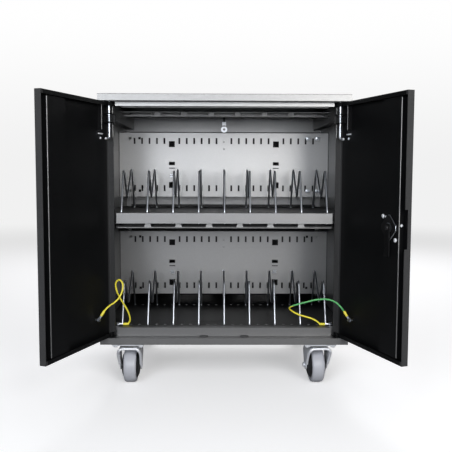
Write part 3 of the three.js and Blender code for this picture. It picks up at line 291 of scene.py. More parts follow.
def piece(name, parts, material, body, replaces=(), sharp=40.0):
    """One object from surfaces: their points and faces in one mesh, smooth below the sharp angle."""
    points, faces, offset = [], [], 0
    for part_points, part_faces in parts:
        points.append(part_points)
        faces += [[offset + i for i in face] for face in part_faces]
        offset += len(part_points)
    mesh = bpy.data.meshes.new(name)
    mesh.from_pydata(np.concatenate(points).tolist(), [], faces)
    solid = bmesh.new()
    solid.from_mesh(mesh)
    bmesh.ops.recalc_face_normals(solid, faces=solid.faces)
    solid.to_mesh(mesh)
    solid.free()
    mesh.polygons.foreach_set("use_smooth", np.ones(len(mesh.polygons), bool))
    mesh.set_sharp_from_angle(angle=math.radians(sharp))
    mesh.materials.append(material)
    made = bpy.data.objects.new(name, mesh)
    bpy.context.scene.collection.objects.link(made)
    if body:
        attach(made, body)
    if replaces:
        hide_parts(*replaces)
    return made


# Finishes


def add(tree, kind, **settings):
    """A node with its inputs and properties set by name."""
    made = tree.nodes.new(kind)
    for key, value in settings.items():
        name = key.replace("_", " ").title()
        if name in made.inputs:
            made.inputs[name].default_value = value
        else:
            setattr(made, key, value)
    return made


def new_group(name, inputs, outputs):
    """An empty shader group with its sockets, and its two ends."""
    tree = bpy.data.node_groups.new(name, "ShaderNodeTree")
    for socket, kind, value in inputs:
        made = tree.interface.new_socket(socket, in_out="INPUT", socket_type=kind)
        made.default_value = value
    for socket, kind in outputs:
        tree.interface.new_socket(socket, in_out="OUTPUT", socket_type=kind)
    return tree, add(tree, "NodeGroupInput"), add(tree, "NodeGroupOutput")


def noise(tree, scale_socket, detail, factor=1.0):
    """Noise on object coordinates, at a socket's scale times a factor."""
    place = add(tree, "ShaderNodeTexCoord")
    scale = add(tree, "ShaderNodeMath", operation="MULTIPLY")
    scale.inputs[1].default_value = factor
    tree.links.new(scale_socket, scale.inputs[0])
    made = add(tree, "ShaderNodeTexNoise", detail=detail)
    tree.links.new(place.outputs["Object"], made.inputs["Vector"])
    tree.links.new(scale.outputs[0], made.inputs["Scale"])
    return made


def grain_group():
    """Fine grain of a coating or moulding: small pits for the bump, and a speckle mask."""
    tree, ends, out = new_group(
        "Fine Grain",
        [("Scale", "NodeSocketFloat", 900.0)],
        [("Height", "NodeSocketFloat"), ("Speckle", "NodeSocketFloat")],
    )
    pits = noise(tree, ends.outputs["Scale"], 2.0)
    specks = noise(tree, ends.outputs["Scale"], 1.0, 0.45)
    sharpen = add(tree, "ShaderNodeMapRange")
    for socket, value in (("From Min", 0.35), ("From Max", 0.65)):
        sharpen.inputs[socket].default_value = value
    tree.links.new(pits.outputs[0], out.inputs["Height"])
    tree.links.new(specks.outputs[0], sharpen.inputs["Value"])
    tree.links.new(sharpen.outputs[0], out.inputs["Speckle"])
    return tree


def handling_group():
    """Marks of use: broad clouds of handling, and thin scuffs where stretched noise peaks."""
    tree, ends, out = new_group(
        "Handling Marks",
        [("Cloud Scale", "NodeSocketFloat", 6.0), ("Scuff Scale", "NodeSocketFloat", 40.0)],
        [("Cloud", "NodeSocketFloat"), ("Scuff", "NodeSocketFloat")],
    )
    cloud = noise(tree, ends.outputs["Cloud Scale"], 3.0)
    place = add(tree, "ShaderNodeTexCoord")
    stretch = add(tree, "ShaderNodeMapping")
    stretch.inputs["Rotation"].default_value = (0.4, 0.3, 0.5)
    stretch.inputs["Scale"].default_value = (0.08, 0.5, 2.2)
    tree.links.new(place.outputs["Object"], stretch.inputs["Vector"])
    scuff = add(tree, "ShaderNodeTexNoise", detail=4.0)
    tree.links.new(stretch.outputs[0], scuff.inputs["Vector"])
    tree.links.new(ends.outputs["Scuff Scale"], scuff.inputs["Scale"])
    peak = add(tree, "ShaderNodeMapRange")
    for socket, value in (("From Min", 0.62), ("From Max", 0.72)):
        peak.inputs[socket].default_value = value
    tree.links.new(cloud.outputs[0], out.inputs["Cloud"])
    tree.links.new(scuff.outputs[0], peak.inputs["Value"])
    tree.links.new(peak.outputs[0], out.inputs["Scuff"])
    return tree


def placed_group(tree, group, **values):
    """A group in a material, with its own values."""
    made = add(tree, "ShaderNodeGroup", node_tree=group)
    for key, value in values.items():
        made.inputs[key.replace("_", " ").title()].default_value = value
    return made


def ramp(tree, source, low, high):
    """A value stretched between two ends."""
    made = add(tree, "ShaderNodeMapRange")
    made.inputs["To Min"].default_value = low
    made.inputs["To Max"].default_value = high
    tree.links.new(source, made.inputs["Value"])
    return made.outputs[0]


def mixed(tree, factor, first, second):
    """Two colours, fixed or linked, mixed by a factor."""
    made = add(tree, "ShaderNodeMix", data_type="RGBA")
    tree.links.new(factor, made.inputs["Factor"])
    for socket, value in ((made.inputs[6], first), (made.inputs[7], second)):
        if isinstance(value, bpy.types.NodeSocket):
            tree.links.new(value, socket)
        else:
            socket.default_value = (*value, 1.0)
    return made.outputs[2]


def tone(colour, factor):
    """A colour made lighter or darker."""
    return tuple(min(1.0, channel * factor) for channel in colour)


def finish(name, colour, groups, rough, grain, cloud, contrast=0.12, bump=0.1, scuff=0.0,
           metallic=0.0, specular=0.5, speckle=0.0, ior=1.5):
    """A material: clouds and specks in its colour, clouds and scuffs in its roughness, grain as bump."""
    material = bpy.data.materials.new(name)
    material.use_nodes = True
    tree = material.node_tree
    shader = tree.nodes["Principled BSDF"]
    shader.inputs["Metallic"].default_value = metallic
    shader.inputs["Specular IOR Level"].default_value = specular
    shader.inputs["IOR"].default_value = ior
    pits = placed_group(tree, groups["grain"], scale=grain)
    marks = placed_group(tree, groups["marks"], cloud_scale=cloud)
    base = mixed(tree, marks.outputs["Cloud"], tone(colour, 1 - contrast), tone(colour, 1 + contrast))
    if speckle:
        lit = mixed(tree, pits.outputs["Speckle"], tone(colour, 1 - speckle), tone(colour, 1 + speckle))
        half = add(tree, "ShaderNodeMix", data_type="RGBA")
        half.inputs["Factor"].default_value = 0.5
        tree.links.new(base, half.inputs[6])
        tree.links.new(lit, half.inputs[7])
        base = half.outputs[2]
    tree.links.new(base, shader.inputs["Base Color"])
    gloss = ramp(tree, marks.outputs["Cloud"], rough[0], rough[1])
    if scuff:
        worn = add(tree, "ShaderNodeMath", operation="MULTIPLY_ADD")
        worn.inputs[1].default_value = scuff
        tree.links.new(marks.outputs["Scuff"], worn.inputs[0])
        tree.links.new(gloss, worn.inputs[2])
        gloss = worn.outputs[0]
    tree.links.new(gloss, shader.inputs["Roughness"])
    relief = add(tree, "ShaderNodeBump", strength=bump, distance=0.0004)
    tree.links.new(pits.outputs["Height"], relief.inputs["Height"])
    tree.links.new(relief.outputs[0], shader.inputs["Normal"])
    return material


def coats_and_painted_shade(name, colours, groups, ends, changes, away, sheen, bump=0.25, lean=0.0):
    """Charcoal and black by turns along a line, and charcoal where the surface looks one way.

    The mask reads the object's own coordinates and normals: the share of the way from one end of the
    line to the other picks a band, each change swaps charcoal and black, and the first band is charcoal.
    A lean of one keeps charcoal on all that doesn't look the opposite way. On the doors the black is the
    door coat; on the top panel, the rear panel and the shelf it is painted shade.
    """
    material = finish(name, colours.door_coat, groups, (0.4, 0.44), 1000, 4, 0.15, bump, 0.05,
                      speckle=0.2, ior=PAINT_IOR)
    tree = material.node_tree
    shader = tree.nodes["Principled BSDF"]
    place = add(tree, "ShaderNodeTexCoord")
    facing = add(tree, "ShaderNodeVectorMath", operation="DOT_PRODUCT")
    facing.inputs[1].default_value = away
    tree.links.new(place.outputs["Normal"], facing.inputs[0])
    leaning = add(tree, "ShaderNodeMath", operation="ADD")
    leaning.inputs[1].default_value = lean
    tree.links.new(facing.outputs["Value"], leaning.inputs[0])
    first, last = ends
    along = unit(last - first)
    run = add(tree, "ShaderNodeVectorMath", operation="DOT_PRODUCT")
    run.inputs[1].default_value = along
    tree.links.new(place.outputs["Object"], run.inputs[0])
    share = add(tree, "ShaderNodeMapRange")
    share.inputs["From Min"].default_value = float(first @ along)
    share.inputs["From Max"].default_value = float(last @ along)
    tree.links.new(run.outputs["Value"], share.inputs["Value"])
    bands = add(tree, "ShaderNodeValToRGB")
    bands.color_ramp.interpolation = "CONSTANT"
    bands.color_ramp.elements[0].color = (1.0, 1.0, 1.0, 1.0)
    bands.color_ramp.elements.remove(bands.color_ramp.elements[1])
    for i, change in enumerate(changes):
        level = i % 2
        bands.color_ramp.elements.new(change).color = (level, level, level, 1.0)
    tree.links.new(share.outputs[0], bands.inputs[0])
    outer = add(tree, "ShaderNodeMath", operation="MAXIMUM", use_clamp=True)
    tree.links.new(leaning.outputs[0], outer.inputs[0])
    tree.links.new(bands.outputs["Color"], outer.inputs[1])
    pits = next(node for node in tree.nodes if getattr(node, "node_tree", None) == groups["grain"])
    charcoal = colours.powder_coat
    coat = mixed(tree, pits.outputs["Speckle"], tone(charcoal, 0.75), tone(charcoal, 1.25))
    inside = shader.inputs["Base Color"].links[0].from_socket
    tree.links.new(mixed(tree, outer.outputs[0], inside, coat), shader.inputs["Base Color"])
    tree.links.new(ramp(tree, outer.outputs[0], *sheen), shader.inputs["Specular IOR Level"])
    return material


def charcoal_coat(name, colours, groups, sheen, ior):
    """Charcoal powder coat with its own sheen."""
    return finish(name, colours.powder_coat, groups, (0.4, 0.44), 900, 5, 0.1, 0.3, 0.05,
                  specular=sheen, speckle=0.4, ior=ior)


def cord_finish(colours, groups):
    """Two-colour insulation: the stripe attribute chooses between yellow and green."""
    material = finish("cord_insulation", colours.cord_yellow, groups, (0.35, 0.5), 700, 30, 0.06, 0.05)
    tree = material.node_tree
    shader = tree.nodes["Principled BSDF"]
    stripe = add(tree, "ShaderNodeAttribute", attribute_name="stripe")
    plain = shader.inputs["Base Color"].links[0].from_socket
    tree.links.new(mixed(tree, stripe.outputs["Fac"], plain, tuple(colours.cord_green)),
                   shader.inputs["Base Color"])
    return material


FINISHES = {}


def make_finishes(colours):
    """Every finish of the cart, by name."""
    groups = {"grain": grain_group(), "marks": handling_group()}
    for name, side in (("left", 1), ("right", -1)):
        door = door_axes(name)
        FINISHES[f"{name}_door"] = coats_and_painted_shade(
            f"{name}_door_coat", colours, groups, door([(side * a, 0, 0) for a in DOOR_ENDS]),
            (0.024, 0.976), door.direction((0, -1, 0)), (0.06, 0.3), 0.05)
    sheen = (0.1, PAINT_SHEEN)
    depth = cart([(0, 0, 0), (0, 490, 0)])
    height = cart([(0, 0, 0), (0, 0, 714)])
    FINISHES.update(
        powder=charcoal_coat("charcoal_powder_coat", colours, groups, PAINT_SHEEN, PAINT_IOR),
        # The base takes the copy with less sheen, as painted shade; the upper partition and the top frame take the
        # copy with a higher index, as painted light
        base_pan=charcoal_coat("base_painted_shade_coat", colours, groups, PAINTED_SHADE_SHEEN, PAINT_IOR),
        upper_partition=charcoal_coat("partition_painted_light_coat", colours, groups, PAINT_SHEEN, PAINTED_LIGHT_IOR),
        top_frame=charcoal_coat("frame_painted_light_coat", colours, groups, PAINT_SHEEN, PAINTED_LIGHT_IOR),
        # The tray takes the copy with less sheen, as painted shade; behind its front strip it is black
        floor_tray=coats_and_painted_shade("tray_painted_shade_coat", colours, groups, depth, (0.086,), FRONT, (0.06, PAINTED_SHADE_SHEEN)),
        # Behind its front strip the shelf is black, as painted shade over its top, its rear flange and its bar,
        # and it takes the copy with less sheen
        upper_shelf=coats_and_painted_shade("shelf_painted_shade_coat", colours, groups, depth, (0.057,), np.zeros(3),
                              (0.1, PAINTED_SHADE_SHEEN)),
        # The top panel's underside is black, as painted shade; all that faces up or sideways stays charcoal
        top_panel=coats_and_painted_shade("top_panel_painted_shade_coat", colours, groups, depth, (0.001,), UP, sheen, lean=1.0),
        # The rear panel's inside is black behind both compartments, as painted shade; its foot, the band at the
        # shelf, the header band and its outer face stay charcoal
        rear_panel=coats_and_painted_shade("rear_panel_painted_shade_coat", colours, groups, height, (0.184, 0.6036, 0.65, 0.898),
                             -FRONT, sheen),
        black=finish("black_satin_coat", colours.door_coat, groups, (0.25, 0.35), 1100, 30, 0.15, 0.05),
        zinc=finish("bright_zinc", colours.zinc, groups, (0.3, 0.4), 500, 60, 0.08, 0.02,
                    metallic=1.0),
        plated=finish("plated_steel", colours.plated, groups, (0.34, 0.46), 500, 60, 0.06, 0.02,
                      metallic=0.3),
        plastic=finish("black_plastic", colours.plastic, groups, (0.42, 0.55), 800, 20, 0.15, 0.12),
        tyre=finish("grey_tyre", colours.tyre, groups, (0.32, 0.45), 350, 25, 0.1, 0.15, 0.05),
        hub=finish("dark_hub", colours.hub, groups, (0.35, 0.5), 500, 25, 0.15, 0.1),
        sleeve=finish("yellow_sleeve", colours.cord_yellow, groups, (0.3, 0.42), 600, 40, 0.06, 0.05),
        cord=cord_finish(colours, groups),
    )
    FINISHES.update({f"{corner}_caster_plate": FINISHES["plated"] for corner in CORNERS})


# What a user may change


def length_property(name, description, value):
    """A length in metres, with a default in millimetres."""
    return bpy.props.FloatProperty(
        name=name, description=description, default=value * MM, min=0.0, precision=4,
        unit="LENGTH", subtype="DISTANCE")


def colour_property(name, description, value):
    """A colour in linear light."""
    return bpy.props.FloatVectorProperty(
        name=name, description=description, default=value, min=0.0, max=1.0, size=3, subtype="COLOR")


class CartSizes(bpy.types.PropertyGroup):
    """Sizes of the pieces that stand in for solids."""

    wire_radius: length_property("Wire radius", "Radius of a divider's wire", 2.5)
    wire_bend: length_property("Wire bend", "Radius of the bends in a divider", 10.0)
    cord_diameter: length_property("Cord diameter", "Diameter of a ground cord", 4.2)
    pin_radius: length_property("Pin radius", "Radius of a hinge pin", 3.0)
    spring_radius: length_property("Spring radius", "Radius of a hinge spring", 5.0)
    spring_wire: length_property("Spring wire", "Diameter of the spring's wire", 1.1)
    wheel_radius: length_property("Wheel radius", "Radius of a caster wheel", 43.6)
    wheel_width: length_property("Wheel width", "Width of a tyre", 31.5)


class CartColours(bpy.types.PropertyGroup):
    """Colours of the finishes."""

    powder_coat: colour_property("Powder coat", "Cabinet, shelves and partitions", (0.024, 0.0244, 0.0256))
    # This black is also the painted shade on the top panel's underside, the rear panel's inside, the shelf and the
    # padlock eye's stem
    door_coat: colour_property("Door coat", "Both doors", (0.004, 0.0042, 0.0047))
    zinc: colour_property("Zinc", "Wires, pins and small fittings", (0.58, 0.61, 0.66))
    plated: colour_property("Plated steel", "Plates and forks of the casters", (0.8, 0.82, 0.86))
    plastic: colour_property("Plastic", "Handle, inlet and power strips", (0.018, 0.018, 0.019))
    tyre: colour_property("Tyre", "Tyres of the casters", (0.44, 0.45, 0.49))
    hub: colour_property("Hub", "Hubs of the casters", (0.012, 0.0125, 0.014))
    cord_yellow: colour_property("Cord yellow", "Ground cords and their sleeves", (0.78, 0.68, 0.05))
    cord_green: colour_property("Cord green", "Stripe of the ground cords", (0.10, 0.42, 0.14))
    floor: colour_property("Floor", "Floor and backdrop", (0.88, 0.88, 0.9))


def sizes_of(context):
    return context.scene.cart_sizes


# Operators


class CART_OT_finishes(bpy.types.Operator):
    """Gives every solid of the cart its finish"""

    bl_idname = "cart.finishes"
    bl_label = "Finishes"

    SLOTS = {
        "powder_coat": "powder", "door_coat": "black", "zinc": "zinc", "black_plastic": "plastic",
        "wheel_tread": "tyre", "cord_yellow": "cord", "cord_green": "cord",
    }

    def execute(self, context):
        make_finishes(context.scene.cart_colours)
        for row in frame["record"]["subparts"]:
            solid = frame["nodes"][row["node"]]
            solid.data.materials.clear()
            solid.data.materials.append(FINISHES.get(row["node"], FINISHES[self.SLOTS[row["material_slot"]]]))
        return {"FINISHED"}


class CART_OT_dividers(bpy.types.Operator):
    """Builds the round wire dividers of both levels"""

    bl_idname = "cart.dividers"
    bl_label = "Wire dividers"

    SIDES = 14
    BEND_STEPS = 9
    FOOT_DEPTHS = {"lower": 19.0, "upper": 30.0}
    PROFILE = [(58.8, 3), (103, 111), (163, 32), (258, 111), (311.5, 3)]

    def execute(self, context):
        sizes = sizes_of(context)
        for level, top in LEVELS.items():
            depth = self.FOOT_DEPTHS[level]
            front, back = self.PROFILE[0][0], self.PROFILE[-1][0]
            route = [(front, -depth), *self.PROFILE, (back, -depth)]
            corners = cart([(0, y, top + z) for y, z in route])
            path = bent(corners, sizes.wire_bend, self.BEND_STEPS)
            stations, widths = round_ended(path, sizes.wire_radius)
            rings = swept_rings(stations, widths, self.SIDES, np.array([1.0, 0.0, 0.0]))
            for i in range(DIVIDERS):
                offset = np.array([(i - (DIVIDERS - 1) / 2) * DIVIDER_PITCH * MM, 0, 0])
                name = f"{level}_divider_{i + 1}"
                piece(f"{name}_wire", [skin(rings + offset)], FINISHES["zinc"], "cabinet", [name])
        return {"FINISHED"}


class CART_OT_cords(bpy.types.Operator):
    """Runs a ground cord from each door to the tray, with sleeves over its lugs"""

    bl_idname = "cart.cords"
    bl_label = "Ground cords"

    SIDES = 14
    STEPS = 8
    LUG_FOOT = (50.0, 51.0)
    LUG_HEIGHT = 8.0
    LUG_REACH = np.array([-6.1, 6.0, 12.4])
    FLOOR_LUG = (264.0, 50.0, 3.0)
    FLOOR_REACH = 17.5
    # The real cord turns with the door between these two distances from the hinge, along the door; here the cord
    # is one fixed piece, and these points are worked out but not used
    STILL_UP_TO = -20.0
    TURNS_FROM = 25.0
    SLEEVE = [(2.0, -5.0), (2.95, -4.6), (3.25, -3.0), (3.25, 5.0), (3.0, 7.5), (2.5, 9.5), (2.15, 10.0)]

    def execute(self, context):
        sizes = sizes_of(context)
        # The green side faces the front up to this share of the length, the yellow side after it
        for name, side, route, slot, turn in (("left", 1, LEFT_ROUTE, "cord_yellow", -1.0),
                                              ("right", -1, RIGHT_ROUTE, "cord_green", 0.56)):
            door = door_axes(name)
            foot = np.array([side * self.LUG_FOOT[0], DOOR_SKIN, DOOR_BOTTOM + self.LUG_FOOT[1]])
            reach = self.LUG_REACH * [side, 1, 1]
            tip = door(foot + [0, self.LUG_HEIGHT, 0] + reach)
            leave = door.direction(reach)
            x, y, z = self.FLOOR_LUG
            floor_tip = cart([side * (self.FLOOR_REACH - x), y, LEVELS["lower"] + z])
            inward = np.array([side, 0.0, 0.0])
            middle = [cart([side * (px - PIN_X), py, LEVELS["lower"] + pz]) for px, py, pz in route]
            leads = np.array([LUG_GAP, LUG_GAP + CORD_LEAD])[:, None] * MM
            path = through([*(tip + leads * leave), *middle, *(floor_tip + leads[::-1] * inward)], self.STEPS)
            rings = swept_rings(path, sizes.cord_diameter / 2, self.SIDES, FRONT)
            cord = piece(f"{name}_ground_cord_tube", [skin(rings)], FINISHES["cord"], None,
                         [f"{name}_ground_cord"])
            self.paint(cord, path, turn)
            sleeves = [
                piece(f"{name}_door_sleeve", [revolved(self.SLEEVE, tip, leave, 20)],
                      FINISHES["sleeve"], f"{name}_door"),
                piece(f"{name}_floor_sleeve", [revolved(self.SLEEVE, floor_tip, inward, 20)],
                      FINISHES["sleeve"], "cabinet"),
            ]
            still, turning = door([(side * self.STILL_UP_TO, 0, 0), (side * self.TURNS_FROM, 0, 0)])
            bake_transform(cord)
        return {"FINISHED"}

    def paint(self, cord, path, turn):
        """The stripe: 1 on the half that turns its green side to the front, 0 on the other half."""
        run = np.insert(np.cumsum(np.linalg.norm(np.diff(path, axis=0), axis=1)), 0, 0)
        share = run / run[-1]
        phase = math.pi / (1 + np.exp(-(share - turn) / 0.018))
        angle = np.linspace(0, 2 * math.pi, self.SIDES, endpoint=False)
        facing = np.cos(angle[None] - phase[:, None])
        stripe = np.clip(facing * 3 + 0.5, 0, 1).astype(np.float32)
        layer = cord.data.attributes.new("stripe", "FLOAT", "POINT")
        layer.data.foreach_set("value", stripe.ravel())


class CART_OT_hinges(bpy.types.Operator):
    """Builds the sprung hinge pins of both doors"""

    bl_idname = "cart.hinges"
    bl_label = "Hinge pins"

    SIDES = 20
    BEND = 5.0
    BEND_STEPS = 10
    COLLAR = [(3.0, 0), (5.3, 0), (5.6, 0.3), (5.6, 1.7), (5.3, 2.0), (3.0, 2.0)]
    TURNS = 4.5
    SPRING_STEPS = 28
    SPRING_FOOT = 648.55
    SPRING_HEAD = 663.55
    SPRING_KEEP = 0.5
    KNOB = [(0.4, -3.2), (1.8, -2.7), (2.8, -1.6), (3.2, 0.0), (2.8, 1.6), (1.8, 2.7), (0.4, 3.2)]
    SCREW_SPOT = (18.0, 610.0)
    SCREW = [(3.0, 0.05), (2.9, 0.8), (2.2, 1.6), (1.1, 2.1), (0.3, 2.2)]
    FOOT_SPOT = (19.0, 620.0)
    FOOT_HALF = (10.5, 1.7)
    FOOT = [(0.05, 0.2), (0.6, 0.0), (1.4, 0.2), (1.9, 0.8)]

    def execute(self, context):
        sizes = sizes_of(context)
        for name in ("left", "right"):
            door = door_axes(name)
            lever = EAR_BOTTOM - LEVER_DROP
            path = bent(door([(0, 0, PIN_TOP), (0, 0, lever), (0, -LEVER_REACH, lever)]),
                        self.BEND * MM, self.BEND_STEPS)
            stations, widths = round_ended(path, sizes.pin_radius)
            pin = skin(swept_rings(stations, widths, self.SIDES, door.direction((1, 0, 0))))
            collar = revolved(self.COLLAR, door((0, 0, COLLAR_TOP - 2)), UP, self.SIDES, loop=True)
            knob = revolved(self.KNOB, door((0, -LEVER_REACH, lever)), door.direction((0, 1, 0)), self.SIDES)
            piece(f"{name}_hinge_pin_rod", [pin, collar], FINISHES["zinc"], f"{name}_pin",
                  [f"{name}_hinge_pin"])
            piece(f"{name}_hinge_pin_knob", [knob], FINISHES["plated"], f"{name}_pin")
            self.fastening(name, door)
            coil = skin(self.coil(door, sizes))
            spring = piece(f"{name}_hinge_spring_coil", [coil], FINISHES["zinc"], f"{name}_door",
                           [f"{name}_hinge_spring"])
            tuple(door((0, 0, self.SPRING_FOOT)))
            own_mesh(spring)
        return {"FINISHED"}

    def fastening(self, name, door):
        """The foot of the hinge guard and the screw below it, on the inside of the door's skin."""
        side = 1 if name == "left" else -1
        (screw_x, screw_z), (foot_x, foot_z) = self.SCREW_SPOT, self.FOOT_SPOT
        screw = revolved(self.SCREW, door((side * screw_x, DOOR_SKIN, screw_z)), door.direction((0, 1, 0)), 20)
        foot = rounded_slab(door, (side * foot_x, DOOR_SKIN, foot_z), self.FOOT_HALF, self.FOOT, 6.0, 32)
        piece(f"{name}_hinge_fastening", [screw, foot], FINISHES["plated"], f"{name}_door")

    def coil(self, door, sizes):
        """A wire carried along a helix: r (cos t, sin t) with z rising evenly with t."""
        turn = np.linspace(0, 2 * math.pi * self.TURNS, int(self.TURNS * self.SPRING_STEPS))
        radius = sizes.spring_radius / MM
        rise = np.linspace(self.SPRING_FOOT, self.SPRING_HEAD, len(turn))
        path = door(np.stack([radius * np.cos(turn), radius * np.sin(turn), rise], -1))
        return swept_rings(path, sizes.spring_wire / 2, 8, UP)


class CART_OT_lock(bpy.types.Operator):
    """Builds the handle and the fastenings of the lock on the right door"""

    bl_idname = "cart.lock"
    bl_label = "Lock"

    HEIGHT = 414.5
    FROM_PIN = -215.0
    KNOB = [(14.5, -29.6), (15.6, -29.0), (16.0, -27.8), (16.0, -22.6), (15.2, -21.7), (5.0, -21.7),
            (5.0, 7.4), (4.4, 8.0), (2.0, 8.0)]
    GRIP = [(-28.2, 0.4), (-31.0, 0.0), (-38.5, 0.5), (-41.2, 1.6), (-42.2, 3.6)]
    BOLTS = [(-191.5, 437.7), (-238.5, 390.0)]
    BOLT = [(4.6, 0.05), (4.6, 0.5), (4.3, 1.2), (3.4, 1.9), (1.8, 2.3), (0.5, 2.4)]
    NUT_SPOT = (-204.0, 437.0)
    NUT = [(2.6, 0.05), (2.9, 0.3), (2.9, 1.7), (2.5, 2.0), (1.0, 2.0)]
    EDGE_SCREW = (-250.0, -6.4, 421.0)
    PLATE_EDGE = [(-214, 441.5), (-220, 441.5), (-242, 419.5), (-242, 409.5), (-220, 387.5), (-214, 387.5)]
    PLATE_FACE = 1.5
    PLATE_ROUND = 0.9
    PLATE_BEND = 3.0

    def execute(self, context):
        door = door_axes("right")
        axis = door.direction((0, 1, 0))
        origin = door((self.FROM_PIN, 0, self.HEIGHT))
        knob = revolved(self.KNOB, origin, axis, 48)
        grip = rounded_slab(door, (self.FROM_PIN, 0, self.HEIGHT), (20.0, 6.5), self.GRIP, 3.4)
        piece("lock_handle_knob", [knob, grip], FINISHES["plastic"], "lock",
              ["lock_handle"], 30)
        for i, (x, z) in enumerate(self.BOLTS):
            head = revolved(self.BOLT, door((x, HAT_FACE, z)), axis, 24)
            piece(f"lock_bolt_{i + 1}", [head], FINISHES["plated"], "right_door")
        x, z = self.NUT_SPOT
        nut = revolved(self.NUT, door((x, HAT_FACE, z)), axis, 6)
        piece("lock_nut", [nut], FINISHES["plated"], "right_door", sharp=20)
        screw = revolved(self.NUT, door(self.EDGE_SCREW), door.direction((-1, 0, 0)), 20)
        piece("stiffener_screw", [screw], FINISHES["plated"], "right_door")
        # The edge bead is bright zinc on the dark plate: a painted highlight along its right-hand edges
        edge = bent(door([(x, self.PLATE_FACE, z) for x, z in self.PLATE_EDGE]), self.PLATE_BEND * MM, 5)
        stations, widths = round_ended(edge, self.PLATE_ROUND * MM)
        piece("lock_plate_edge", [skin(swept_rings(stations, widths, 10, axis))], FINISHES["zinc"],
              "right_door")
        return {"FINISHED"}


